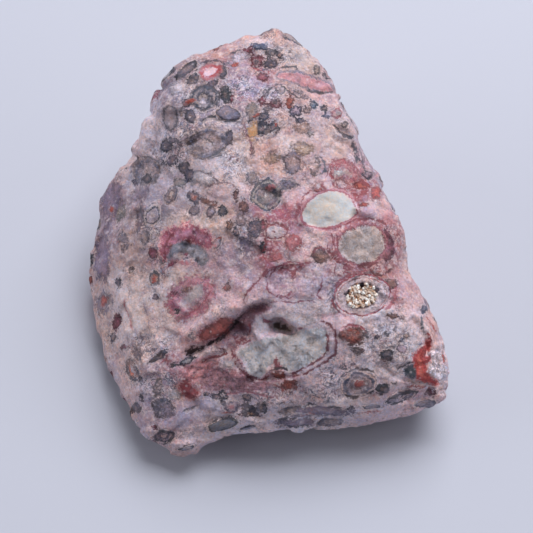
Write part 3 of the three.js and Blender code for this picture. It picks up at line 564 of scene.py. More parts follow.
# Patches speckled with dark and milky silica, as x, y, width, height.
SPECKLED = [(205, 95, 60, 50), (275, 55, 50, 30), (222, 118, 50, 20), (265, 110, 50, 60), (170, 155, 50, 40),
            (232, 165, 30, 40), (150, 345, 50, 30), (160, 385, 50, 40),
            (340, 375, 60, 50), (390, 345, 60, 50), (246, 238, 24, 50), (320, 395, 60, 20), (240, 90, 40, 40),
            (335, 295, 20, 40), (275, 395, 60, 30), (160, 262, 24, 60), (255, 130, 40, 30),
            (190, 130, 70, 30), (150, 225, 30, 40), (190, 255, 40, 20), (230, 380, 80, 30), (262, 62, 30, 30)]
# Veins, as half-width in mm, colour, and points in the picture frame. Among them are painted lines: near-black shadow
# in the crevice under the step, and pale highlight along the ridge at the lower right.
VEINS_AND_PAINTED_LIGHT = [
    # dark silica at the high end
    (0.18, "#403f49", [(332, 124), (338, 129), (344, 136), (351, 138), (355, 138)]),
    (0.26, "#4a4c57", [(350, 142), (354, 149), (356, 157), (357, 164)]),
    (0.11, "#54525c", [(359, 146), (362, 156), (364, 166), (366, 176)]),
    (0.12, "#454751", [(278, 69), (286, 67), (295, 67), (300, 74)]),
    (0.16, "#4a4851", [(305, 89), (312, 92), (323, 93), (333, 91)]),
    (0.11, "#484650", [(262, 97), (269, 90), (279, 84), (284, 87), (291, 93), (300, 99)]),
    (0.09, "#4c4850", [(272, 96), (277, 92), (276, 86)]),
    (0.11, "#5a5c68", [(228, 56), (233, 52), (243, 50)]),
    (0.09, "#6a6c76", [(228, 58), (229, 65), (235, 68)]),
    (0.09, "#94505a", [(250, 66), (258, 70), (268, 72), (268, 78)]),
    (0.16, "#3c3f4a", [(200, 122), (206, 118), (213, 116), (218, 119), (226, 122), (240, 121)]),
    (0.08, "#ccbfbf", [(202, 125), (208, 121), (215, 120), (224, 125), (238, 124)]),
    (0.14, "#4c4c57", [(194, 92), (201, 86), (210, 86), (217, 92), (219, 101), (215, 108)]),
    (0.11, "#54535d", [(199, 98), (204, 92), (211, 94), (213, 102)]),
    (0.08, "#b7a9ae", [(208, 91), (214, 97), (214, 105)]),
    (0.09, "#86606a", [(243, 121), (246, 132), (251, 143), (250, 157)]),
    (0.12, "#7b6d72", [(264, 140), (273, 137), (282, 131)]),
    (0.07, "#cbbcb8", [(262, 137), (271, 134), (279, 128)]),
    (0.18, "#5c5259", [(289, 152), (284, 159), (285, 167), (291, 171)]),
    (0.12, "#54484f", [(293, 156), (299, 160), (301, 162)]),
    (0.14, "#565a66", [(320, 156), (325, 162), (325, 170), (319, 176)]),
    (0.09, "#92858a", [(287, 150), (294, 146), (304, 144), (312, 148)]),
    (0.22, "#3b2c2c", [(187, 146), (192, 142), (199, 140)]),
    (0.12, "#4a4247", [(186, 147), (189, 139), (197, 133), (203, 131)]),
    (0.11, "#5d5a61", [(200, 160), (212, 156), (222, 150), (229, 146)]),
    (0.08, "#c5b4ba", [(201, 143), (206, 150), (212, 152)]),
    (0.08, "#574f55", [(203, 137), (209, 141), (216, 146)]),
    (0.09, "#6f6a72", [(134, 163), (140, 157), (150, 156), (157, 161), (160, 170)]),
    (0.11, "#5c5a65", [(139, 203), (142, 215), (146, 226), (151, 231)]),
    (0.09, "#857079", [(203, 188), (213, 184), (226, 182), (233, 184), (237, 190)]),
    (0.08, "#6f626a", [(195, 171), (204, 173), (212, 177), (218, 181), (228, 180)]),
    (0.12, "#5a5962", [(252, 202), (252, 192), (258, 184), (268, 180)]),
    (0.08, "#b5a8ac", [(256, 201), (257, 192), (263, 186)]),
    (0.09, "#8f868b", [(280, 178), (291, 178), (297, 183), (293, 190)]),
    # red iron round the clear silica
    (0.12, "#8a4853", [(301, 202), (305, 194), (311, 190), (318, 192), (329, 189)]),
    (0.09, "#93525d", [(299, 208), (300, 218), (307, 226)]),
    (0.15, "#864450", [(320, 229), (331, 229), (342, 226), (352, 222), (359, 218)]),
    (0.11, "#9a5660", [(350, 194), (357, 202), (362, 213)]),
    (0.07, "#d2bcc2", [(352, 199), (358, 207), (360, 214)]),
    (0.22, "#8a4046", [(350, 193), (357, 196), (364, 193), (370, 189)]),
    (0.20, "#7c3a40", [(351, 187), (357, 183), (364, 182), (369, 187)]),
    (0.15, "#94474a", [(359, 178), (366, 182), (373, 190)]),
    (0.09, "#a5626a", [(332, 163), (342, 160), (352, 164), (362, 174)]),
    (0.15, "#9a525c", [(330, 165), (330, 174), (336, 181)]),
    (0.09, "#a0606a", [(337, 166), (344, 166), (353, 172)]),
    (0.16, "#7e424d", [(331, 232), (333, 243), (331, 254), (337, 262), (347, 266), (356, 268)]),
    (0.11, "#8a4d58", [(336, 232), (337, 243), (336, 254), (342, 260), (350, 264)]),
    (0.14, "#7d424c", [(352, 222), (362, 219), (374, 219), (383, 222), (389, 229)]),
    (0.22, "#6a3a42", [(355, 267), (367, 265), (380, 262)]),
    (0.22, "#64383f", [(369, 272), (378, 275), (386, 276)]),
    (0.11, "#5f3a40", [(383, 277), (390, 270), (394, 266)]),
    (0.11, "#8f4f5b", [(340, 271), (349, 274), (359, 272), (370, 270)]),
    (0.09, "#8a4a57", [(336, 294), (337, 287), (343, 281), (351, 278)]),
    (0.11, "#824653", [(333, 288), (341, 279), (352, 275), (362, 272)]),
    (0.26, "#9c5f69", [(384, 311), (392, 303), (396, 293), (397, 283)]),
    (0.07, "#d0b5bb", [(383, 307), (390, 299), (392, 290)]),
    (0.14, "#874a55", [(332, 296), (333, 304), (338, 311), (346, 317)]),
    (0.14, "#7f424e", [(268, 279), (274, 271), (284, 268), (292, 272), (293, 282)]),
    (0.12, "#85495a", [(267, 281), (268, 290), (276, 297), (287, 296), (292, 289)]),
    (0.12, "#7f424e", [(294, 280), (296, 270), (304, 264), (313, 262)]),
    (0.11, "#85495a", [(266, 263), (275, 268), (286, 263), (298, 262), (309, 266)]),
    (0.09, "#8a5565", [(268, 304), (280, 301), (295, 303), (308, 300), (318, 304)]),
    (0.11, "#82485a", [(322, 276), (321, 286), (317, 295), (324, 302)]),
    (0.14, "#7a3f4b", [(243, 302), (247, 293), (254, 285), (263, 276), (268, 266)]),
    (0.14, "#7a3a44", [(266, 233), (267, 226), (276, 223), (285, 226), (290, 232)]),
    (0.14, "#7c3a42", [(264, 234), (266, 244), (262, 254), (266, 263)]),
    (0.14, "#743e49", [(312, 257), (314, 250), (322, 247), (329, 253), (330, 262)]),
    # round the great inclusion under the step
    (0.17, "#69303b", [(320, 320), (329, 325), (335, 333), (336, 345), (335, 354), (327, 361), (314, 368), (301, 375),
                       (290, 377)]),
    (0.10, "#d2bfc6", [(324, 324), (331, 330), (333, 341), (332, 352), (325, 358.5), (311, 366.5), (300, 373)]),
    (0.13, "#6f3540", [(325, 331), (328, 340), (327, 351), (320, 359), (309, 365), (298, 371), (288, 374)]),
    (0.12, "#6f3540", [(238, 355), (238, 362), (244, 370), (252, 377), (261, 378)]),
    (0.24, "#7c3f49", [(278, 369), (276, 362), (276, 355)]),
    (0.14, "#8a4652", [(262, 318), (268, 322), (273, 321)]),
    (0.16, "#6b303b", [(234, 361), (239, 369), (246, 375), (253, 380), (262, 380), (270, 376)]),
    (0.07, "#c9b3ba", [(238, 362), (243, 369), (250, 375)]),
    (0.12, "#5f2c35", [(215, 345), (221, 349), (228, 351)]),
    (0.16, "#84424a", [(200, 364), (207, 359), (217, 356), (227, 353), (228, 346)]),
    (0.14, "#7c3d48", [(231, 350), (234, 356), (231, 362)]),
    (0.14, "#8a4a55", [(236, 341), (244, 344), (250, 340), (247, 333)]),
    (0.11, "#7f3a43", [(249, 320), (251, 330), (248, 338)]),
    (0.11, "#83444f", [(262, 314), (264, 322), (272, 323)]),
    # painted shadow: the near-black lines in the crevice under the step
    (0.28, "#33222a", [(246, 311), (236, 322), (226, 334), (216, 341), (206, 345)]),
    (0.24, "#2e2022", [(206, 345), (199, 349), (191, 352), (184, 356)]),
    (0.16, "#4a3436", [(183, 352), (189, 350), (196, 345)]),
    (0.22, "#33202a", [(268, 371), (275, 369), (283, 368), (290, 370)]),
    (0.12, "#7f454b", [(272, 384), (281, 388), (286, 394)]),
    (0.09, "#94606a", [(224, 394), (245, 391), (262, 395), (280, 399)]),
    (0.14, "#4f4448", [(147, 366), (155, 358), (163, 350)]),
    (0.14, "#3f3e45", [(168, 369), (174, 366), (180, 365)]),
    # the end wall and the corner
    (0.15, "#45444e", [(206, 428), (212, 422), (220, 418), (232, 418), (240, 421)]),
    (0.12, "#45444e", [(242, 428), (249, 426), (256, 426)]),
    (0.12, "#d2c8ce", [(204, 423), (212, 417), (224, 414), (237, 415)]),
    (0.13, "#cfc4ca", [(201, 437), (214, 433), (228, 430), (240, 428)]),
    (0.11, "#cdbfc4", [(278, 415), (292, 413.5), (306, 414.5), (320, 416)]),
    (0.11, "#4a4a58", [(285, 425), (298, 427), (311, 425)]),
    (0.15, "#3f4150", [(277, 423), (284, 418.5), (293, 418.5)]),
    (0.11, "#c9bcc4", [(325, 418), (336, 417), (350, 420)]),
    (0.12, "#4a4250", [(200, 64), (207, 61), (219, 61), (227, 66)]),
    (0.12, "#4f4d57", [(181, 412), (190, 409), (200, 404)]),
    (0.07, "#c7b9bc", [(183, 415), (191, 412), (200, 408)]),
    (0.12, "#4a4850", [(178, 450), (184, 446), (192, 444)]),
    (0.15, "#45434b", [(155, 433), (162, 431), (171, 432), (174, 437), (169, 442), (161, 446)]),
    (0.14, "#4b4a55", [(303, 407), (310, 403), (318, 405)]),
    (0.14, "#4b4a55", [(327, 408), (334, 406), (343, 408)]),
    (0.14, "#4f4d58", [(276, 421), (286, 418), (298, 418)]),
    (0.08, "#ac6f6e", [(300, 417), (310, 414), (322, 417)]),
    (0.09, "#a4686a", [(355, 414), (368, 412), (385, 411)]),
    (0.11, "#97555a", [(222, 413), (231, 413), (239, 417)]),
    (0.23, "#453c40", [(344, 394), (351, 397), (361, 398)]),
    (0.16, "#4f474c", [(358, 372), (366, 369), (375, 373)]),
    (0.18, "#44434c", [(384, 404), (391, 398), (401, 394), (412, 392), (420, 391)]),
    (0.12, "#55525b", [(389, 406), (399, 402), (411, 398)]),
    (0.12, "#4f4b52", [(394, 373), (398, 368), (407, 364), (414, 362)]),
    (0.09, "#574a4e", [(403, 381), (415, 383)]),
    # painted highlight along the ridge at the lower right
    (0.12, "#d0c2c4", [(381, 367), (390, 371), (397, 377), (405, 379)]),
    (0.12, "#50555f", [(422, 314), (421, 325), (424, 335)]),
    (0.20, "#8e2f30", [(428, 331), (430, 340), (427, 348), (422, 353), (423, 361), (419, 365)]),
    (0.12, "#7a262c", [(431, 353), (430, 360), (424, 363)]),
    # painted highlight along the ridge at the lower right, continued
    (0.12, "#d9ccce", [(404, 380), (412, 381), (422, 384), (432, 387)]),
    (0.10, "#dccfce", [(413, 345), (419, 347), (424, 343)]),
    (0.09, "#a8483f", [(441, 352), (444, 358), (443, 365)]),
    (0.07, "#7d7580", [(430, 364), (436, 369), (441, 377)]),
    (0.07, "#7d7580", [(433, 362), (440, 368), (444, 375)]),
    (0.10, "#8f3a38", [(424, 316), (428, 318), (433, 327), (437, 335)]),
    (0.11, "#a04f45", [(427, 320), (433, 327), (437, 335)]),
    (0.09, "#7b3f3f", [(424, 350), (425, 358), (430, 361)]),
    (0.16, "#4c3436", [(346, 345), (355, 344), (365, 342)]),
    (0.14, "#95505a", [(340, 329), (349, 325), (360, 327), (367, 333)]),
    (0.14, "#4a3b3a", [(349, 351), (355, 348), (362, 350)]),
    (0.14, "#8a5456", [(404, 388), (418, 386), (434, 387)]),
    # fine red and brown threads on the left
    (0.08, "#b5777d", [(124, 298), (126, 309), (131, 320), (133, 332)]),
    (0.07, "#8c7478", [(127, 283), (129, 292), (128, 300)]),
    (0.07, "#94848a", [(143, 300), (146, 310), (148, 322), (150, 334)]),
    (0.18, "#823d48", [(165, 256), (164, 247), (168, 239), (175, 233)]),
    (0.09, "#93505f", [(186, 316), (197, 309), (206, 299), (211, 290)]),
]

MARKINGS_SEED = 11
MIDDLE = (266.0, 270.0)                      # pixels of the picture frame, well inside the stone's outline
markings_rng = np.random.default_rng(MARKINGS_SEED)
skin = BVHTree.FromPolygons([tuple(p) for p in places], [tuple(q.vertices) for q in stone_mesh.polygons])


def skin_under(x, y):
    """The place in mm where the line of sight at a point of the picture frame meets the stone.

    Just off the stone's edge the point is moved towards the middle, a hundredth of the way at a time.
    """
    for step in range(40):
        px, py = np.array([x, y]) + (np.array(MIDDLE) - (x, y)) * 0.01 * step
        sight = ((px - PICTURE / 2) * face_right - (py - PICTURE / 2) * face_up) / FOCAL_PIXELS - face_out
        hit = skin.ray_cast(Vector(eye_point), Vector(sight))[0]
        if hit is not None:
            return np.array(hit)
    raise ValueError("no stone under %s, %s" % (x, y))


# Points are moved about a little before any marking is laid out, so that no orb is a true ellipsoid.
UNEVEN = ((1.9, 31.0, 0.30), (0.8, 47.0, 0.16))   # size in mm, shift, reach in mm
OUTLINE_STRAY = 0.4                          # share of it that outlines and veins stray
uneven = places.copy()
for size, shift, reach in UNEVEN:
    uneven += reach * strays(places, size, shift, 5.1)
uneven_picture = to_picture(places + OUTLINE_STRAY * (uneven - places))

FAR_OFF = 9.0                                # mm, the distance kept where no marking is near
RAGGED = 0.05                                # mm, ordinary raggedness of an edge
ORB_DEPTH = 0.7                              # an orb's width as a share of how deep it reaches into the rock
ORB_REACH = 1.5                              # share of an orb's radius, and mm past that, where it is looked for
ORB_MARGIN = 1.6
FLAT_ROUND = 1.3                             # mm round an orb's middle over which the skin's direction is taken
RAY_START = 0.15                             # share of an orb's radius where its fibres start to spread
RAY_SHIFT = 20                               # most that one orb's fibres are shifted from another's
TINTS = (0.94, 1.06)                         # how an orb's colours vary, in red, green and blue by themselves
SHADES = (0.85, 1.15)                        # and in all three together
ATTRIBUTE_FIELDS = {"FLOAT": "value", "FLOAT_VECTOR": "vector", "FLOAT_COLOR": "color"}


def set_attribute(name, kind, values):
    """Write values on the stone's mesh as an attribute of its vertices."""
    stone_mesh.attributes.new(name, kind, "POINT").data.foreach_set(ATTRIBUTE_FIELDS[kind], values.ravel())


class Layer:
    """One set of markings: at each vertex, the distance in mm from the nearest one's edge, and its colours."""

    def __init__(self, name):
        self.name = name
        self.edge = np.full(len(places), FAR_OFF)
        self.ends = np.zeros((len(places), 6))   # where the five zones end, then how calm it is
        self.ragged = np.full(len(places), RAGGED)
        self.fibre = np.zeros(len(places))
        self.ray = np.zeros((len(places), 3))
        self.colours = np.ones((len(places), 5, 4))

    def put(self, rows, edge, ray, colours, ends, fibre, ragged, tint):
        """Lay a marking on the vertices in rows, where no marking of the layer is nearer."""
        wins = edge < self.edge[rows]
        rows = rows[wins]
        self.edge[rows] = edge[wins]
        self.ends[rows] = ends
        self.ragged[rows] = ragged
        self.fibre[rows] = fibre
        self.ray[rows] = ray[wins]
        self.colours[rows] = np.clip(np.array([hex_colour(c) for c in colours]) * tint, 0, 1)

    def put_orb(self, centre, radii, turn, kind, across, upward):
        """An orb with its middle on the skin: rings of colour that keep its shape."""
        near = np.nonzero(np.linalg.norm(uneven - centre, axis=1) < ORB_REACH * max(radii) + ORB_MARGIN)[0]
        if len(near) == 0:
            return
        close = near[np.linalg.norm(places[near] - centre, axis=1) < FLAT_ROUND]
        outward = normals[close if len(close) else near].mean(axis=0)
        outward /= np.linalg.norm(outward)
        cos, sin = math.cos(turn), math.sin(turn)
        along, athwart = cos * across + sin * upward, cos * upward - sin * across
        mean_radius = 0.5 * (radii[0] + radii[1])
        offset = uneven[near] - centre
        local = np.stack([offset @ along / radii[0], offset @ athwart / radii[1],
                          ORB_DEPTH * (offset @ outward) / mean_radius], axis=1)
        share = np.linalg.norm(local, axis=1)
        *colours, ends, fibre, ragged = ORB_KINDS[kind]
        tint = np.append(markings_rng.uniform(*TINTS, 3) * markings_rng.uniform(*SHADES), 1)
        ray = local / np.maximum(share, RAY_START)[:, None] + markings_rng.uniform(-RAY_SHIFT, RAY_SHIFT, 3)
        self.put(near, (share - 1) * mean_radius, ray, colours, [-e * mean_radius for e in ends] + [0.0, 0.0],
                 fibre, ragged, tint)

    def store(self):
        """Write the layer on the mesh as point attributes."""
        for name, values in (("edge", self.edge), ("ragged", self.ragged), ("fibre", self.fibre)):
            set_attribute(f"{self.name}_{name}", "FLOAT", values)
        for name, values in (("ray", self.ray), ("inner_ends", self.ends[:, :3]), ("outer_ends", self.ends[:, 3:])):
            set_attribute(f"{self.name}_{name}", "FLOAT_VECTOR", values)
        for k, zone in enumerate(ZONES):
            set_attribute(f"{self.name}_{zone}", "FLOAT_COLOR", self.colours[:, k])


def rounded(corners):
    """A closed outline with its corners cut twice, so that it has no straight sides."""
    for _ in range(2):
        corners = np.array(corners, float)
        after = np.roll(corners, -1, axis=0)
        corners = np.stack([0.75 * corners + 0.25 * after, 0.25 * corners + 0.75 * after], axis=1).reshape(-1, 2)
    return corners


def inside(points, corners):
    """Which points lie inside a closed outline."""
    crossings = np.zeros(len(points), int)
    for (x0, y0), (x1, y1) in zip(corners, np.roll(corners, -1, axis=0)):
        if y0 == y1:
            continue
        spans = (points[:, 1] > min(y0, y1)) & (points[:, 1] <= max(y0, y1))
        crossings += spans & (points[:, 0] < x0 + (points[:, 1] - y0) * (x1 - x0) / (y1 - y0))
    return crossings % 2 == 1


orbs, nested, inclusions = Layer("orbs"), Layer("nested"), Layer("inclusions")
listed = []
for layer, rows in ((orbs, LARGE_ORBS), (nested, SMALL_ORBS), (inclusions, INNER_ORBS_AND_PAINTED_SHADE)):
    for x, y, width, height, turn, kind in rows:
        centre = skin_under(x, y)
        listed.append(centre)
        layer.put_orb(centre, (width * PIXEL / 2, height * PIXEL / 2), math.radians(turn), kind, face_right, face_up)

OUTLINE_REACH = 90                           # pixels from an outline's middle, past which it changes nothing
OUTLINE_RIM = 2.0                            # mm outside an outline that its colours are kept
CRYSTAL_SCALE = 0.45                         # of the broken crystals in an inclusion, per mm
LAST_ZONE = 0.16                             # mm, how wide the last zone is
layers = {layer.name: layer for layer in (orbs, nested, inclusions)}
for layer_name, *colours, ends, fibre, ragged, calm, corners in INCLUSIONS_AND_PAINTED_SHADE:
    outline = rounded(corners)
    seen = np.nonzero((facing > 0) & (np.linalg.norm(picture - outline.mean(axis=0), axis=1) < OUTLINE_REACH))[0]
    distance = line_distance(uneven_picture[seen], outline, True)[0] * PIXEL
    edge = np.where(inside(uneven_picture[seen], outline), -distance, distance)
    near = edge < OUTLINE_RIM
    ray = uneven[seen] * CRYSTAL_SCALE
    layers[layer_name].put(seen[near], edge[near], ray[near], colours,
                           [-e for e in ends] + [-ends[-1] + LAST_ZONE, calm], fibre, ragged, 1.0)

# Everywhere else orbs of the same kinds are strewn as thickly, in clusters.
STREWN_KINDS = ["grey", "grey", "ashen", "ashen", "dark", "dark", "black", "blue", "cell", "plum", "pinkcore",
                "orangecore", "whitecore", "conc", "tan", "redring", "maroon", "rust", "rose", "lens", "white",
                "crimson"]
INNER_KINDS = ["white", "redspot", "dark", "blue"]
STREWN_TRIES = 6500
CLUSTER_SIZE = 7.0                           # mm
LISTED_RADIUS = 1.3                          # mm, room kept round each orb of the broad face
CROWDING = 0.82                              # share of two orbs' radii that their middles keep apart
TURNED_AWAY = 0.12                           # the skin faces the viewpoint less than this off the broad face
DENT_REACH = 1.6                             # mm
DENT_FACING = 0.15                           # round a place in a dent of the broad face, it faces it more
hidden = np.nonzero(facing < TURNED_AWAY)[0]
taken = [(c, LISTED_RADIUS) for c in listed]
for row in markings_rng.choice(hidden, STREWN_TRIES):
    centre = places[row]
    crowd = noise.noise(Vector(centre) / CLUSTER_SIZE)
    radius = markings_rng.uniform(0.45, 1.0) * (1.0 + 1.8 * markings_rng.random() ** 4)   # mm, few are large
    if markings_rng.random() > 0.55 + 1.2 * crowd:
        continue
    others = np.array([c for c, _ in taken])
    reach = np.array([r for _, r in taken])
    if np.any(np.linalg.norm(others - centre, axis=1) < CROWDING * (reach + radius)):
        continue
    if facing[np.sum((places - centre) ** 2, axis=1) < DENT_REACH ** 2].mean() > DENT_FACING:
        continue
    taken.append((centre, radius))
    across = np.array(Vector(normals[row]).orthogonal().normalized())
    upward = np.cross(normals[row], across)
    kind = STREWN_KINDS[markings_rng.integers(len(STREWN_KINDS))]
    turn = markings_rng.uniform(0, math.pi)
    orbs.put_orb(centre, (radius, radius * markings_rng.uniform(0.5, 1.0)), turn, kind, across, upward)
    if radius > 0.8 and markings_rng.random() < 0.5:
        inner = centre + (across * markings_rng.uniform(-0.3, 0.3) + upward * markings_rng.uniform(-0.3, 0.3)) * radius
        size = radius * markings_rng.uniform(0.25, 0.45)
        kind = INNER_KINDS[markings_rng.integers(len(INNER_KINDS))]
        nested.put_orb(inner, (size, size * 0.8), turn, kind, across, upward)
for layer in (orbs, nested, inclusions):
    layer.store()

# The body of the rock: soft stains on the broad face, partly painted light and shade, and drifting ones elsewhere.
DRIFTING = ("cream", "buff", "peach", "ash", "rose", "mauve")
DRIFT_SIZE = 7.0                             # mm
DRIFT_WEIGHT = 0.3                           # against a stain's 1 in its middle
drift = [np.exp(3.0 * noise_field(places, DRIFT_SIZE, 60.0 + 13 * k)) for k in range(len(DRIFTING))]
drift = np.stack(drift, axis=1)
drift_colours = np.array([hex_colour(MINERALS[mineral]) for mineral in DRIFTING])
weight = np.full(len(places), DRIFT_WEIGHT)


def patch_strength(x, y, width, height):
    """How strong a soft oval patch of the picture frame is: 1 in its middle, about a third at its edge."""
    gap = (uneven_picture - (x, y)) / (width / 2, height / 2)
    return np.exp(-np.sum(gap ** 2, axis=1))


ground = drift @ drift_colours / drift.sum(axis=1)[:, None] * weight[:, None]
for *oval, mineral in STAINS_AND_PAINTED_LIGHT:
    share = patch_strength(*oval) * np.clip(facing * 4, 0, 1)
    ground += share[:, None] * hex_colour(MINERALS[mineral])
    weight += share
ground /= weight[:, None]
set_attribute("ground", "FLOAT_COLOR", ground)

for name, patches, size, shift in (("web", WEB_PATCHES, 5.0, 77.0), ("speckled", SPECKLED, 6.0, 91.0)):
    amount = np.clip(noise_field(places, size, shift) * 3 - 0.4, 0, 1) * np.clip(1 - facing * 8, 0, 1)
    for oval in patches:
        amount = np.maximum(amount, np.clip(1.7 * patch_strength(*oval) - 0.3, 0, 1) * (facing > 0))
    set_attribute(name, "FLOAT", amount)

# A vein or painted line is kept as the signed distance across it and its half-width there, which is below zero off the
# line.
VEIN_REACH = 0.75                            # mm either side of a vein where its distance is kept
TAPER = 5.0                                  # pixels over which a vein thins out at its ends
NO_VEIN, PAST_END = -1.0, -0.3               # mm, kept in place of a half-width
vein_and_painted_line_side = np.full(len(places), VEIN_REACH)
vein_and_painted_line_width = np.full(len(places), NO_VEIN)
vein_and_painted_line_colour = np.ones((len(places), 4))
for half_width, colour, corners in VEINS_AND_PAINTED_LIGHT:
    distance, side, along, length = line_distance(uneven_picture, corners, False)
    distance *= PIXEL
    on = (distance < VEIN_REACH) & (distance < np.abs(vein_and_painted_line_side)) & (facing > -0.05)
    vein_and_painted_line_side[on] = (distance * side)[on]
    vein_and_painted_line_width[on] = (half_width * np.clip(np.minimum(along, length - along) / TAPER, -1, 1))[on]
    vein_and_painted_line_width[on & ((along <= 0) | (along >= length))] = PAST_END
    vein_and_painted_line_colour[on] = hex_colour(colour)
set_attribute("vein_and_painted_line_side", "FLOAT", vein_and_painted_line_side)
set_attribute("vein_and_painted_line_width", "FLOAT", vein_and_painted_line_width)
set_attribute("vein_and_painted_line_colour", "FLOAT_COLOR", vein_and_painted_line_colour)

stone = bpy.data.objects.new("stone", stone_mesh)
bpy.context.scene.collection.objects.link(stone)
for polygon in stone_mesh.polygons:
    polygon.use_smooth = True


def add_node(tree, kind, inputs=None, **settings):
    """Add a node with its settings; inputs gives each socket a value, or an output that is linked to it."""
    node = tree.nodes.new(kind)
    for name, value in settings.items():
        setattr(node, name, value)
    for socket, value in (inputs or {}).items():
        if isinstance(value, bpy.types.NodeSocket):
            tree.links.new(value, node.inputs[socket])
        else:
            node.inputs[socket].default_value = value
    return node


def new_material(name):
    """A material with an empty node tree."""
    material = bpy.data.materials.new(name)
    material.use_nodes = True
    material.node_tree.nodes.clear()
    return material


# Jasper broken by hand: microcrystalline quartz is dull and grainy where it broke, so the skin is matt,
# with a fine hackly relief that catches the light. Where the silica is clear, there is little of it.
JASPER_ROUGHNESS = 0.58
QUARTZ_IOR = 1.54
RELIEF = 0.28                                # mm
jasper = new_material("broken_orbicular_jasper")
tree = jasper.node_tree
object_place = add_node(tree, "ShaderNodeTexCoord").outputs["Object"]
mm = add_node(tree, "ShaderNodeVectorMath", {0: object_place, "Scale": 1 / MM}, operation="SCALE").outputs[0]

# How far every edge strays, in mm for an edge of ordinary raggedness. A pattern's scale is one over its size in mm.
stray_noise = add_node(tree, "ShaderNodeTexNoise", {"Vector": mm, "Scale": 1 / 0.9, "Detail": 2.0}).outputs["Fac"]
stray = add_node(tree, "ShaderNodeMath", {0: stray_noise, 1: 0.4, 2: -0.20}, operation="MULTIPLY_ADD").outputs[0]
crinkle = add_node(tree, "ShaderNodeTexNoise", {
    "Vector": mm, "Scale": 1 / 0.28, "Detail": 3.0, "Roughness": 0.8}).outputs["Fac"]
crinkle = add_node(tree, "ShaderNodeMath", {0: crinkle, 1: -0.5}, operation="ADD").outputs[0]
stray = add_node(tree, "ShaderNodeMath", {0: crinkle, 1: 0.85, 2: stray}, operation="MULTIPLY_ADD").outputs[0]

# The body: its stains, mottled at several sizes with paler, greyer and rosier rock.
# Each has its size in mm, its colour, the noise where it starts and where it is full, and its amount.
MOTTLES = ((1.6, "#857b98", 0.53, 0.66, 0.46), (1.1, "#dccdca", 0.51, 0.62, 0.50),
           (0.6, "#75606e", 0.59, 0.68, 0.38), (0.5, "#dacfd6", 0.56, 0.66, 0.40),
           (2.3, "#b5746f", 0.57, 0.70, 0.34), (0.7, "#a25a60", 0.61, 0.69, 0.50),
           (0.9, "#cc9473", 0.57, 0.68, 0.30), (0.5, "#8f91b4", 0.57, 0.66, 0.35))
colour = add_node(tree, "ShaderNodeAttribute", attribute_name="ground").outputs["Color"]
for k, (size, tint, low, high, amount) in enumerate(MOTTLES):
    apart = add_node(tree, "ShaderNodeVectorMath", {0: mm, 1: (17.3 * k, 5.1 * k, 9.7 * k)}, operation="ADD").outputs[0]
    patch = add_node(tree, "ShaderNodeTexNoise", {
        "Vector": apart, "Scale": 1 / size, "Detail": 4.0, "Roughness": 0.68, "Distortion": 0.5}).outputs["Fac"]
    patch = add_node(tree, "ShaderNodeMapRange", {
        "Value": patch, "From Min": low, "From Max": high, "To Max": amount}).outputs[0]
    colour = add_node(tree, "ShaderNodeMix", {"Factor": patch, 6: colour, 7: hex_colour(tint)},
                      data_type="RGBA").outputs[2]

# Iron in a net of fine cracks round pale pockets.
WEB_CELL = 1.35                              # mm
WEB_TINTS = ((0.30, 0.14, 0.6, "#bba9ae"), (0.04, 0.17, 0.95, "#84444e"))   # pale in a cell, red at its edge
bend = add_node(tree, "ShaderNodeTexNoise", {"Vector": mm, "Scale": 1 / 1.1, "Detail": 2.0}).outputs["Color"]
bend = add_node(tree, "ShaderNodeVectorMath", {0: bend, 1: (1.5, 1.5, 1.5), 2: mm}, operation="MULTIPLY_ADD").outputs[0]
web_edge = add_node(tree, "ShaderNodeTexVoronoi", {"Vector": bend, "Scale": 1 / WEB_CELL},
                    feature="DISTANCE_TO_EDGE").outputs["Distance"]
web_edge = add_node(tree, "ShaderNodeMath", {0: stray, 1: 0.5, 2: web_edge}, operation="MULTIPLY_ADD").outputs[0]
web_amount = add_node(tree, "ShaderNodeAttribute", attribute_name="web").outputs["Fac"]
for low, high, amount, tint in WEB_TINTS:
    spread = add_node(tree, "ShaderNodeMapRange", {
        "Value": web_edge, "From Min": low, "From Max": high, "To Min": amount, "To Max": 0.0}).outputs[0]
    spread = add_node(tree, "ShaderNodeMath", {0: spread, 1: web_amount}, operation="MULTIPLY").outputs[0]
    colour = add_node(tree, "ShaderNodeMix", {"Factor": spread, 6: colour, 7: hex_colour(tint)},
                      data_type="RGBA").outputs[2]

# Silica in specks, dark ones and milky ones, crowded together in some places, given as the mottles are.
SPECKS = ((0.9, "#484a5a", 0.52, 0.58, 0.85), (0.5, "#5c424c", 0.57, 0.63, 0.8), (0.5, "#d9cdd0", 0.55, 0.61, 0.8),
          (0.6, "#8f94ac", 0.56, 0.63, 0.7))
speckled = add_node(tree, "ShaderNodeAttribute", attribute_name="speckled").outputs["Fac"]
scattered = add_node(tree, "ShaderNodeTexNoise", {"Vector": mm, "Scale": 1 / 3.1, "Detail": 3.0}).outputs["Fac"]
scattered = add_node(tree, "ShaderNodeMapRange", {
    "Value": scattered, "From Min": 0.48, "From Max": 0.64, "To Max": 0.6}).outputs[0]
speckled = add_node(tree, "ShaderNodeMath", {0: speckled, 1: scattered}, operation="MAXIMUM").outputs[0]
for k, (size, tint, low, high, amount) in enumerate(SPECKS):
    apart = add_node(tree, "ShaderNodeVectorMath", {0: mm, 1: (8.9, 3.3 * k, 21.7 * k)}, operation="ADD").outputs[0]
    specks = add_node(tree, "ShaderNodeTexNoise", {
        "Vector": apart, "Scale": 1 / size, "Detail": 3.0, "Roughness": 0.7, "Distortion": 1.2}).outputs["Fac"]
    specks = add_node(tree, "ShaderNodeMapRange", {
        "Value": specks, "From Min": low, "From Max": high, "To Max": amount}).outputs[0]
    specks = add_node(tree, "ShaderNodeMath", {0: specks, 1: speckled}, operation="MULTIPLY").outputs[0]
    colour = add_node(tree, "ShaderNodeMix", {"Factor": specks, 6: colour, 7: hex_colour(tint)},
                      data_type="RGBA").outputs[2]

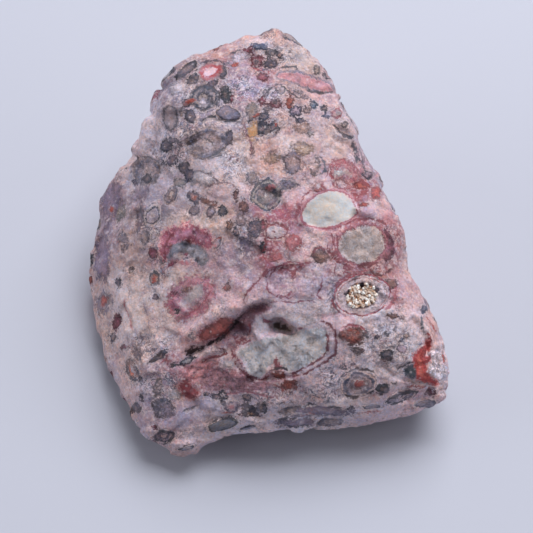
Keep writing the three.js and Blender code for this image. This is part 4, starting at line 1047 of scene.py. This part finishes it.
# Hair-fine seams wander through the same places, a dark one with a milky one beside it.
wander = add_node(tree, "ShaderNodeTexNoise", {
    "Vector": mm, "Scale": 1 / 1.5, "Detail": 2.5, "Roughness": 0.55, "Distortion": 0.9}).outputs["Fac"]
SEAMS = ((0.500, 0.012, "#474757", 0.60), (0.530, 0.009, "#ddd2d2", 0.52), (0.415, 0.010, "#7a4450", 0.55),
         (0.440, 0.007, "#d9cdcc", 0.50))     # noise in the middle of the seam, half its spread, colour, amount
for middle, half, tint, amount in SEAMS:
    off = add_node(tree, "ShaderNodeMath", {0: wander, 1: -middle}, operation="ADD").outputs[0]
    off = add_node(tree, "ShaderNodeMath", {0: off}, operation="ABSOLUTE").outputs[0]
    off = add_node(tree, "ShaderNodeMapRange", {
        "Value": off, "From Min": half, "From Max": 1.8 * half, "To Min": amount, "To Max": 0.0}).outputs[0]
    off = add_node(tree, "ShaderNodeMath", {0: off, 1: speckled}, operation="MULTIPLY").outputs[0]
    colour = add_node(tree, "ShaderNodeMix", {"Factor": off, 6: colour, 7: hex_colour(tint)},
                      data_type="RGBA").outputs[2]

# Orbs, what lies in them, and the inclusions with the painted shade among them: each layer's zones from its middle out,
# then what is under it.
RIMS = ((0.07, 0.05, "#d9ccc9", 0.50), (0.20, 0.02, "#454858", 0.70))   # mm out, half-width, colour, amount
GROWTH_BAND = 0.48                           # mm from one layer of growth to the next
RIM_FADE = 0.04                              # mm over which a rim fades
DOME = (-0.45, 0.06)                         # mm out from its edge, where an orb's dome is full and where it ends
worn = add_node(tree, "ShaderNodeTexNoise", {
    "Vector": mm, "Scale": 1 / 1.5, "Detail": 3.0, "Roughness": 0.65}).outputs["Fac"]
worn = add_node(tree, "ShaderNodeMapRange", {
    "Value": worn, "From Min": 0.38, "From Max": 0.52, "To Min": 0.74}).outputs[0]
raised = None
for layer in (orbs, nested, inclusions):
    edge = add_node(tree, "ShaderNodeAttribute", attribute_name=f"{layer.name}_edge").outputs["Fac"]
    ragged = add_node(tree, "ShaderNodeAttribute", attribute_name=f"{layer.name}_ragged").outputs["Fac"]
    strayed = add_node(tree, "ShaderNodeMath", {0: ragged, 1: 1 / RAGGED}, operation="MULTIPLY").outputs[0]
    edge = add_node(tree, "ShaderNodeMath", {0: stray, 1: strayed, 2: edge}, operation="MULTIPLY_ADD").outputs[0]
    ends = []
    for group in ("inner_ends", "outer_ends"):
        packed = add_node(tree, "ShaderNodeAttribute", attribute_name=f"{layer.name}_{group}").outputs["Vector"]
        ends += list(add_node(tree, "ShaderNodeSeparateXYZ", {0: packed}).outputs)
    calm = ends.pop()
    zones = [add_node(tree, "ShaderNodeAttribute", attribute_name=f"{layer.name}_{zone}").outputs["Color"]
             for zone in ZONES]
    # fibres grow straight out from the middle of an orb, and an inclusion is a mass of broken crystals
    ray = add_node(tree, "ShaderNodeAttribute", attribute_name=f"{layer.name}_ray").outputs["Vector"]
    fibre = add_node(tree, "ShaderNodeTexNoise", {
        "Vector": ray, "Scale": 4.0, "Detail": 4.0, "Roughness": 0.7}).outputs["Fac"]
    if layer is inclusions:
        facets = add_node(tree, "ShaderNodeTexVoronoi", {"Vector": ray, "Scale": 3.2, "Detail": 1.5, "Roughness": 0.6})
        fibre = add_node(tree, "ShaderNodeSeparateColor", {0: facets.outputs["Color"]}).outputs[0]
        fibre = add_node(tree, "ShaderNodeMapRange", {"Value": fibre, "To Min": 0.38, "To Max": 0.60}).outputs[0]
    strength = add_node(tree, "ShaderNodeAttribute", attribute_name=f"{layer.name}_fibre").outputs["Fac"]
    patchy = add_node(tree, "ShaderNodeTexNoise", {"Vector": ray, "Scale": 1.3, "Detail": 2.0}).outputs["Fac"]
    patchy = add_node(tree, "ShaderNodeMapRange", {
        "Value": patchy, "From Min": 0.36, "From Max": 0.56, "To Min": 0.25, "To Max": 1.0}).outputs[0]
    marking = zones[0]
    for end, zone in zip(ends, zones[1:] + [None]):
        low = add_node(tree, "ShaderNodeMath", {0: end, 1: ragged}, operation="SUBTRACT").outputs[0]
        high = add_node(tree, "ShaderNodeMath", {0: end, 1: ragged}, operation="ADD").outputs[0]
        step = add_node(tree, "ShaderNodeMapRange", {"Value": edge, "From Min": low, "From Max": high},
                        interpolation_type="SMOOTHSTEP").outputs[0]
        if zone is zones[2]:                 # a ring is strong on one side of its orb and faint on another
            step = add_node(tree, "ShaderNodeMath", {0: step, 1: patchy}, operation="MULTIPLY").outputs[0]
        if zone is not None:
            marking = add_node(tree, "ShaderNodeMix", {
                "Factor": step, 6: marking, 7: zone}, data_type="RGBA").outputs[2]
    shade = add_node(tree, "ShaderNodeMath", {0: fibre, 1: -0.5}, operation="ADD").outputs[0]
    if layer is orbs:
        band = add_node(tree, "ShaderNodeMath", {0: edge, 1: 2 * math.pi / GROWTH_BAND},
                        operation="MULTIPLY").outputs[0]
        band = add_node(tree, "ShaderNodeMath", {0: band}, operation="SINE").outputs[0]
        shade = add_node(tree, "ShaderNodeMath", {0: band, 1: 0.13, 2: shade}, operation="MULTIPLY_ADD").outputs[0]
    shade = add_node(tree, "ShaderNodeMath", {0: shade, 1: strength}, operation="MULTIPLY").outputs[0]
    shade = add_node(tree, "ShaderNodeMath", {0: shade, 1: 1.6, 2: 1.0}, operation="MULTIPLY_ADD").outputs[0]
    marking = add_node(tree, "ShaderNodeVectorMath", {0: marking, "Scale": shade}, operation="SCALE").outputs[0]
    within = add_node(tree, "ShaderNodeMath", {0: 1.0, 1: step}, operation="SUBTRACT").outputs[0]
    shown = within if layer is inclusions else add_node(tree, "ShaderNodeMath", {
        0: within, 1: worn}, operation="MULTIPLY").outputs[0]
    colour = add_node(tree, "ShaderNodeMix", {"Factor": shown, 6: colour, 7: marking}, data_type="RGBA").outputs[2]
    # the rock has taken up a pale rim round an orb and a thin dark one round that, where it has a sharp edge
    sharp = add_node(tree, "ShaderNodeMapRange", {
        "Value": ragged, "From Min": RAGGED, "From Max": 0.12, "To Min": 1.0, "To Max": 0.0}).outputs[0]
    sharp = add_node(tree, "ShaderNodeMath", {0: sharp, 1: patchy}, operation="MULTIPLY").outputs[0]
    for middle, half, tint, amount in RIMS if layer is not inclusions else ():
        off = add_node(tree, "ShaderNodeMath", {0: edge, 1: -middle}, operation="ADD").outputs[0]
        off = add_node(tree, "ShaderNodeMath", {0: off}, operation="ABSOLUTE").outputs[0]
        off = add_node(tree, "ShaderNodeMapRange", {
            "Value": off, "From Min": half, "From Max": half + RIM_FADE, "To Min": amount, "To Max": 0.0}).outputs[0]
        off = add_node(tree, "ShaderNodeMath", {0: off, 1: sharp}, operation="MULTIPLY").outputs[0]
        colour = add_node(tree, "ShaderNodeMix", {
            "Factor": off, 6: colour, 7: hex_colour(tint)}, data_type="RGBA").outputs[2]
    # the harder orb stands a little proud of the rock, with a crack round it
    proud = 0.35 if layer is inclusions else 1.0
    dome = add_node(tree, "ShaderNodeMapRange", {
        "Value": edge, "From Min": DOME[0], "From Max": DOME[1], "To Min": proud, "To Max": 0.0},
        interpolation_type="SMOOTHSTEP").outputs[0]
    raised = dome if raised is None else add_node(tree, "ShaderNodeMath", {
        0: dome, 1: raised}, operation="ADD").outputs[0]

# Clear silica is calm: it has little grain and little relief.
calm = add_node(tree, "ShaderNodeMath", {0: within, 1: calm}, operation="MULTIPLY").outputs[0]

# Veins of iron and of dark silica, and the painted lines of shadow and highlight among them.
side = add_node(tree, "ShaderNodeAttribute", attribute_name="vein_and_painted_line_side").outputs["Fac"]
side = add_node(tree, "ShaderNodeMath", {0: stray, 1: 0.8, 2: side}, operation="MULTIPLY_ADD").outputs[0]
side = add_node(tree, "ShaderNodeMath", {0: side}, operation="ABSOLUTE").outputs[0]
width = add_node(tree, "ShaderNodeAttribute", attribute_name="vein_and_painted_line_width").outputs["Fac"]
swelling = add_node(tree, "ShaderNodeTexNoise", {"Vector": mm, "Scale": 1 / 0.7, "Detail": 2.0}).outputs["Fac"]
swelling = add_node(tree, "ShaderNodeMapRange", {
    "Value": swelling, "From Min": 0.35, "From Max": 0.62, "To Min": 0.25, "To Max": 1.35}).outputs[0]
width = add_node(tree, "ShaderNodeMath", {0: width, 1: swelling}, operation="MULTIPLY").outputs[0]
past = add_node(tree, "ShaderNodeMath", {0: side, 1: width}, operation="SUBTRACT").outputs[0]
vein_and_painted_line = add_node(tree, "ShaderNodeMapRange", {
    "Value": past, "From Min": -0.04, "From Max": 0.05, "To Min": 0.93, "To Max": 0.0}).outputs[0]
groove = add_node(tree, "ShaderNodeMath", {0: vein_and_painted_line, 1: -0.3, 2: raised}, operation="MULTIPLY_ADD").outputs[0]
vein_and_painted_line_tint = add_node(tree, "ShaderNodeAttribute", attribute_name="vein_and_painted_line_colour").outputs["Color"]
colour = add_node(tree, "ShaderNodeMix", {"Factor": vein_and_painted_line, 6: colour, 7: vein_and_painted_line_tint}, data_type="RGBA").outputs[2]

# Grain: every colour is broken up into lighter and darker crystals, some milky and some smoky.
GRAINS = ((0.36, 0.99, 1.15), (0.19, 0.99, 1.15))   # size in mm, shade of the darkest and of the palest
for size, darkest, palest in GRAINS:
    grains = add_node(tree, "ShaderNodeTexVoronoi", {"Vector": mm, "Scale": 1 / size})
    tone, grain_hue, _ = add_node(tree, "ShaderNodeSeparateColor", {0: grains.outputs["Color"]}).outputs
    tone = add_node(tree, "ShaderNodeMapRange", {"Value": tone, "To Min": darkest, "To Max": palest}).outputs[0]
    tone = add_node(tree, "ShaderNodeMix", {0: calm, 2: tone, 3: 0.5 * (darkest + palest)}).outputs[0]
    colour = add_node(tree, "ShaderNodeVectorMath", {0: colour, "Scale": tone}, operation="SCALE").outputs[0]
grainy = add_node(tree, "ShaderNodeMath", {0: 1.0, 1: calm}, operation="SUBTRACT").outputs[0]

# A trace of iron warms some of it and fine pores turn the rest blue, in all the colours alike.
wide_hue = add_node(tree, "ShaderNodeTexNoise", {"Vector": mm, "Scale": 1 / 3.2, "Detail": 2.0}).outputs["Fac"]
fine_hue = add_node(tree, "ShaderNodeTexNoise", {"Vector": mm, "Scale": 1 / 1.2, "Detail": 3.0}).outputs["Fac"]
for hue, strength in ((wide_hue, 0.36), (fine_hue, 0.28), (grain_hue, 0.17)):
    hue = add_node(tree, "ShaderNodeMath", {0: hue, 1: -0.5}, operation="ADD").outputs[0]
    hue = add_node(tree, "ShaderNodeMath", {0: hue, 1: strength}, operation="MULTIPLY").outputs[0]
    green, blue = (add_node(tree, "ShaderNodeMath", {0: hue, 1: share}, operation="MULTIPLY").outputs[0]
                   for share in (-0.1, -1.1))
    warmer = add_node(tree, "ShaderNodeCombineXYZ", {0: hue, 1: green, 2: blue}).outputs[0]
    colour = add_node(tree, "ShaderNodeVectorMath", {0: colour, 1: warmer, 2: colour},
                      operation="MULTIPLY_ADD").outputs[0]
# Single crystals stand out, milky or dark.
FLECKS = ((0.47, "#e6dde0", 0.80, 0.40), (0.52, "#5c4a54", 0.84, 0.42))   # size in mm, colour, rarity, amount
for size, tint, rarity, amount in FLECKS:
    flecks = add_node(tree, "ShaderNodeTexVoronoi", {"Vector": mm, "Scale": 1 / size})
    luck = add_node(tree, "ShaderNodeSeparateColor", {0: flecks.outputs["Color"]}).outputs[1]
    luck = add_node(tree, "ShaderNodeMath", {0: luck, 1: rarity}, operation="GREATER_THAN").outputs[0]
    spot = add_node(tree, "ShaderNodeMapRange", {
        "Value": flecks.outputs["Distance"], "From Min": 0.22, "From Max": 0.42, "To Min": amount,
        "To Max": 0.0}).outputs[0]
    spot = add_node(tree, "ShaderNodeMath", {0: spot, 1: luck}, operation="MULTIPLY").outputs[0]
    spot = add_node(tree, "ShaderNodeMath", {0: spot, 1: grainy}, operation="MULTIPLY").outputs[0]
    colour = add_node(tree, "ShaderNodeMix", {"Factor": spot, 6: colour, 7: hex_colour(tint)},
                      data_type="RGBA").outputs[2]
# Iron gives all of it a faint rose cast.
CAST = "#fff8ff"
colour = add_node(tree, "ShaderNodeMix", {"Factor": 1.0, 6: colour, 7: hex_colour(CAST)},
                  data_type="RGBA", blend_type="MULTIPLY").outputs[2]

# The relief too fine for the mesh: hackle, crumbs, domed orbs and sunken veins.
hackle = add_node(tree, "ShaderNodeTexNoise", {
    "Vector": mm, "Scale": 1 / 0.6, "Detail": 6.0, "Roughness": 0.75}).outputs[0]
crumb = add_node(tree, "ShaderNodeTexVoronoi", {"Vector": mm, "Scale": 1 / 0.33}).outputs["Distance"]
height = add_node(tree, "ShaderNodeMath", {0: crumb, 1: 0.18, 2: hackle}, operation="MULTIPLY_ADD").outputs[0]
height = add_node(tree, "ShaderNodeMath", {0: groove, 1: 0.45, 2: height}, operation="MULTIPLY_ADD").outputs[0]
steep = add_node(tree, "ShaderNodeMapRange", {"Value": calm, "To Min": 1.0, "To Max": 0.25}).outputs[0]
bump = add_node(tree, "ShaderNodeBump", {"Height": height, "Strength": steep, "Distance": RELIEF * MM}).outputs[0]
surface = add_node(tree, "ShaderNodeBsdfPrincipled", {
    "Base Color": colour, "Roughness": JASPER_ROUGHNESS, "IOR": QUARTZ_IOR, "Normal": bump})
add_node(tree, "ShaderNodeOutputMaterial", {"Surface": surface.outputs[0]})
stone_mesh.materials.clear()
stone_mesh.materials.append(jasper)

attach(stone, "root")
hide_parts("jasper_stone")

# ---------------------------------------------------------------- crystals in the hollow
# A crust of small quartz points, which grew inwards on the wall of the hollow and stuck fast to it.
# They are cream, stained brown by iron in places, with dark gaps between them.
CRYSTAL_GAP = 0.16                           # mm, least distance between two points' middles
CRYSTAL_WIDTH = 0.18                         # mm, half-width of a point at its root
CRYSTAL_TIP = 0.11                           # mm, half-width of its blunt end
CRYSTAL_LENGTH = 0.27                        # mm
CRUST = 0.16                                 # mm, how far the outermost of them stand off the others
HOLLOW_RADII = (2.15, 1.42)                  # mm, how far from its middle the hollow is lined
HOLLOW_TURN = math.radians(8)                # right end up
HOLLOW_DEPTH = 2.2                           # mm, how far above or below its middle the lining may be
HOLLOW_FACING = 0.05                         # least that the lining faces the viewpoint
HOLLOW_RIM = 1.2                             # share of the radii out to which the rim is measured
FILL = (-0.04, 0.20)                         # mm that the heap ends below the rim, and dips in its middle
HOLLOW = (360.0, 295.5)                      # pixels of the picture frame, its middle
BARE = ((347.5, 292.0), (361.0, 284.5), (376.0, 290.0))   # pixels, dark gaps at the edge of the heap
BARE_RADIUS = 1.9                            # pixels
CRYSTAL_SIDES = 6
CRYSTAL_SIZES = (0.55, 1.25)                 # least and greatest, as shares of the sizes above
CRYSTAL_LEAN = (1.3, 1.3, 3.1)               # radians either way
CRYSTAL_SINK = 0.2                           # share of its length that a point's root lies in the wall
CRYSTAL_CROWD = 9e7                          # points per square metre, more than the least gap leaves room for
CRYSTAL_SEED = 5
WALL_SEED = 9

hollow_seen = skin_under(*HOLLOW)
from_middle = places - hollow_seen
rightward, upward = from_middle @ face_right, from_middle @ face_up
from_axis = np.hypot((math.cos(HOLLOW_TURN) * rightward + math.sin(HOLLOW_TURN) * upward) / HOLLOW_RADII[0],
                     (math.cos(HOLLOW_TURN) * upward - math.sin(HOLLOW_TURN) * rightward) / HOLLOW_RADII[1])
near_skin = (np.abs(from_middle @ face_out) < HOLLOW_DEPTH) & (facing > HOLLOW_FACING)
in_hollow = (from_axis < 1) & near_skin
for gap in BARE:
    in_hollow &= np.linalg.norm(picture - gap, axis=1) > BARE_RADIUS
lining = bmesh.new()
lining.from_mesh(stone_mesh)
lining.verts.ensure_lookup_table()
bmesh.ops.delete(lining, geom=[v for v in lining.verts if not in_hollow[v.index]], context="VERTS")
lining_mesh = bpy.data.meshes.new("hollow_lining")
lining.to_mesh(lining_mesh)
lining.free()
# Points grew on points until the heap came nearly up to the rim.
rim = (from_axis > 1) & (from_axis < HOLLOW_RIM) & near_skin
across_rim = np.stack([rightward[rim], upward[rim], np.ones(rim.sum())], axis=1)
rim_plane = np.linalg.lstsq(across_rim, (from_middle @ face_out)[rim], rcond=None)[0]
bed = vertex_places(lining_mesh)
rightward, upward, height = ((bed - hollow_seen) @ axis for axis in (face_right, face_up, face_out))
full = rim_plane[0] * rightward + rim_plane[1] * upward + rim_plane[2] - FILL[0]
full -= FILL[1] * (1 - np.clip(from_axis[in_hollow], 0, 1) ** 2)
set_vertex_places(lining_mesh, bed + np.maximum(full - height, 0)[:, None] * face_out)
lining_mesh.materials.clear()
crystals = bpy.data.objects.new("vug_crystal_points", lining_mesh)
bpy.context.scene.collection.objects.link(crystals)

# Drusy quartz as it grew: faces too small to tell apart, frosted, so that it looks like dull sugar.
QUARTZ_ROUGHNESS = 0.58
QUARTZ_STAINS = ((0.0, "#7b5040"), (0.16, "#a66d50"), (0.34, "#c89d7f"), (0.46, "#d8bba8"), (0.66, "#dec8bb"),
                 (1.0, "#e2d3cb"))           # from the few brown points to the many cream ones
quartz = new_material("drusy_quartz")
tree = quartz.node_tree
luck = add_node(tree, "ShaderNodeAttribute", attribute_name="luck").outputs["Fac"]
stain = add_node(tree, "ShaderNodeValToRGB", {0: luck})
for place, tint in QUARTZ_STAINS:
    stop = stain.color_ramp.elements.new(place)
    stop.color = hex_colour(tint)
stain.color_ramp.elements.remove(stain.color_ramp.elements[0])
stain.color_ramp.elements.remove(stain.color_ramp.elements[-1])
mm = add_node(tree, "ShaderNodeVectorMath", {
    0: add_node(tree, "ShaderNodeTexCoord").outputs["Object"], "Scale": 1 / MM}, operation="SCALE").outputs[0]
clouded = add_node(tree, "ShaderNodeTexNoise", {"Vector": mm, "Scale": 1 / 0.25, "Detail": 3.0}).outputs[0]
clouded = add_node(tree, "ShaderNodeMapRange", {
    "Value": clouded, "From Min": 0.3, "From Max": 0.7, "To Min": 0.72, "To Max": 1.1}).outputs[0]
body = add_node(tree, "ShaderNodeVectorMath", {0: stain.outputs[0], "Scale": clouded}, operation="SCALE").outputs[0]
surface = add_node(tree, "ShaderNodeBsdfPrincipled", {
    "Base Color": body, "Roughness": QUARTZ_ROUGHNESS, "IOR": QUARTZ_IOR})
add_node(tree, "ShaderNodeOutputMaterial", {"Surface": surface.outputs[0]})

druse = bpy.data.node_groups.new("druse", "GeometryNodeTree")
for name, kind, value in (("Lining", "NodeSocketGeometry", None), ("Least gap", "NodeSocketFloat", CRYSTAL_GAP * MM),
                          ("Root half-width", "NodeSocketFloat", CRYSTAL_WIDTH * MM),
                          ("Length", "NodeSocketFloat", CRYSTAL_LENGTH * MM),
                          ("Crust", "NodeSocketFloat", CRUST * MM), ("Seed", "NodeSocketInt", CRYSTAL_SEED),
                          ("Material", "NodeSocketMaterial", None)):
    socket = druse.interface.new_socket(name, in_out="INPUT", socket_type=kind)
    if value is not None:
        socket.default_value = value
druse.interface.new_socket("Crystals", in_out="OUTPUT", socket_type="NodeSocketGeometry")
given = add_node(druse, "NodeGroupInput").outputs
roots = add_node(druse, "GeometryNodeDistributePointsOnFaces", {
    "Mesh": given["Lining"], "Distance Min": given["Least gap"], "Density Max": CRYSTAL_CROWD, "Density Factor": 1.0,
    "Seed": given["Seed"]}, distribute_method="POISSON")
off_wall = add_node(druse, "FunctionNodeRandomValue", {2: 0.0, 3: given["Crust"], "Seed": WALL_SEED},
                    data_type="FLOAT")
off_wall = add_node(druse, "ShaderNodeVectorMath", {0: roots.outputs["Normal"], "Scale": off_wall.outputs[1]},
                    operation="SCALE").outputs[0]
heaped = add_node(druse, "GeometryNodeSetPosition", {"Geometry": roots.outputs["Points"], "Offset": off_wall})
point = add_node(druse, "GeometryNodeMeshCone", {
    "Vertices": CRYSTAL_SIDES, "Radius Top": CRYSTAL_TIP * MM, "Radius Bottom": given["Root half-width"],
    "Depth": given["Length"]})
sunk = add_node(druse, "GeometryNodeTransform", {
    "Geometry": point.outputs["Mesh"], "Translation": (0, 0, -CRYSTAL_SINK * CRYSTAL_LENGTH * MM)})
size = add_node(druse, "FunctionNodeRandomValue", {2: CRYSTAL_SIZES[0], 3: CRYSTAL_SIZES[1], "Seed": given["Seed"]},
                data_type="FLOAT")
lean = add_node(druse, "FunctionNodeRandomValue", {
    0: [-most for most in CRYSTAL_LEAN], 1: CRYSTAL_LEAN, "Seed": given["Seed"]}, data_type="FLOAT_VECTOR")
standing = add_node(druse, "GeometryNodeInstanceOnPoints", {
    "Points": heaped.outputs[0], "Instance": sunk.outputs[0], "Rotation": roots.outputs["Rotation"],
    "Scale": size.outputs[1]})
leaning = add_node(druse, "GeometryNodeRotateInstances", {
    "Instances": standing.outputs[0], "Rotation": lean.outputs[0]})
chance = add_node(druse, "FunctionNodeRandomValue", {2: 0.0, 3: 1.0, "Seed": given["Seed"]}, data_type="FLOAT")
marked = add_node(druse, "GeometryNodeStoreNamedAttribute", {
    "Geometry": leaning.outputs[0], "Name": "luck", "Value": chance.outputs[1]}, data_type="FLOAT", domain="INSTANCE")
real = add_node(druse, "GeometryNodeRealizeInstances", {"Geometry": marked.outputs[0]})
finished = add_node(druse, "GeometryNodeSetMaterial", {"Geometry": real.outputs[0], "Material": given["Material"]})
add_node(druse, "NodeGroupOutput", {0: finished.outputs[0]})

growth = crystals.modifiers.new("druse", "NODES")
growth.node_group = druse
for socket in druse.interface.items_tree:
    if socket.in_out == "INPUT" and socket.name == "Material":
        growth[socket.identifier] = quartz
crystal_mesh = bpy.data.meshes.new_from_object(crystals.evaluated_get(bpy.context.evaluated_depsgraph_get()))
crystals.modifiers.clear()
crystals.data = crystal_mesh
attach(crystals, "root")
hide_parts("vug_crystals")

# ---------------------------------------------------------------- table and light
# A plain pale board with a faint blue cast. A big window high behind and to the right lights it, and a
# reflector low on either side and the pale walls of the room fill in the shadows.
BOARD_WIDTH = 1.0                            # m
board_mesh = bpy.data.meshes.new("table_top")
board_corners = [(x * BOARD_WIDTH / 2, y * BOARD_WIDTH / 2, 0) for x, y in ((-1, -1), (1, -1), (1, 1), (-1, 1))]
board_mesh.from_pydata(board_corners, [], [(0, 1, 2, 3)])
board = bpy.data.objects.new("table_top", board_mesh)
bpy.context.scene.collection.objects.link(board)
# Matt paint, rolled on: it scatters the light evenly and shows no gloss.
PAINT_COLOUR = "#b8bbca"
PAINT_ROUGHNESS = 0.75
painted = new_material("matt_painted_board")
tree = painted.node_tree
surface = add_node(tree, "ShaderNodeBsdfPrincipled", {
    "Base Color": hex_colour(PAINT_COLOUR), "Roughness": PAINT_ROUGHNESS})
add_node(tree, "ShaderNodeOutputMaterial", {"Surface": surface.outputs[0]})
board_mesh.materials.append(painted)

ROOM_COLOUR = (0.95, 0.95, 1.0, 1)
ROOM_STRENGTH = 0.20
LAMPS = (("window", (0.13, 0.285, 0.46), 0.43, 3.95), ("left_reflector", (-0.46, -0.01, 0.15), 0.40, 0.85),
         ("right_reflector", (0.46, -0.03, 0.13), 0.40, 0.5))   # name, place in m, width in m, power in W
room = bpy.data.worlds.new("room")
bpy.context.scene.world = room
room.use_nodes = True
room.node_tree.nodes["Background"].inputs["Color"].default_value = ROOM_COLOUR
room.node_tree.nodes["Background"].inputs["Strength"].default_value = ROOM_STRENGTH
for name, place, size, power in LAMPS:
    lamp_data = bpy.data.lights.new(name, "AREA")
    lamp_data.size = size
    lamp_data.energy = power
    lamp = bpy.data.objects.new(name, lamp_data)
    lamp.location = place
    lamp.rotation_euler = Vector(place).to_track_quat("Z", "Y").to_euler()
    bpy.context.scene.collection.objects.link(lamp)
bpy.context.scene.view_settings.view_transform = "Standard"
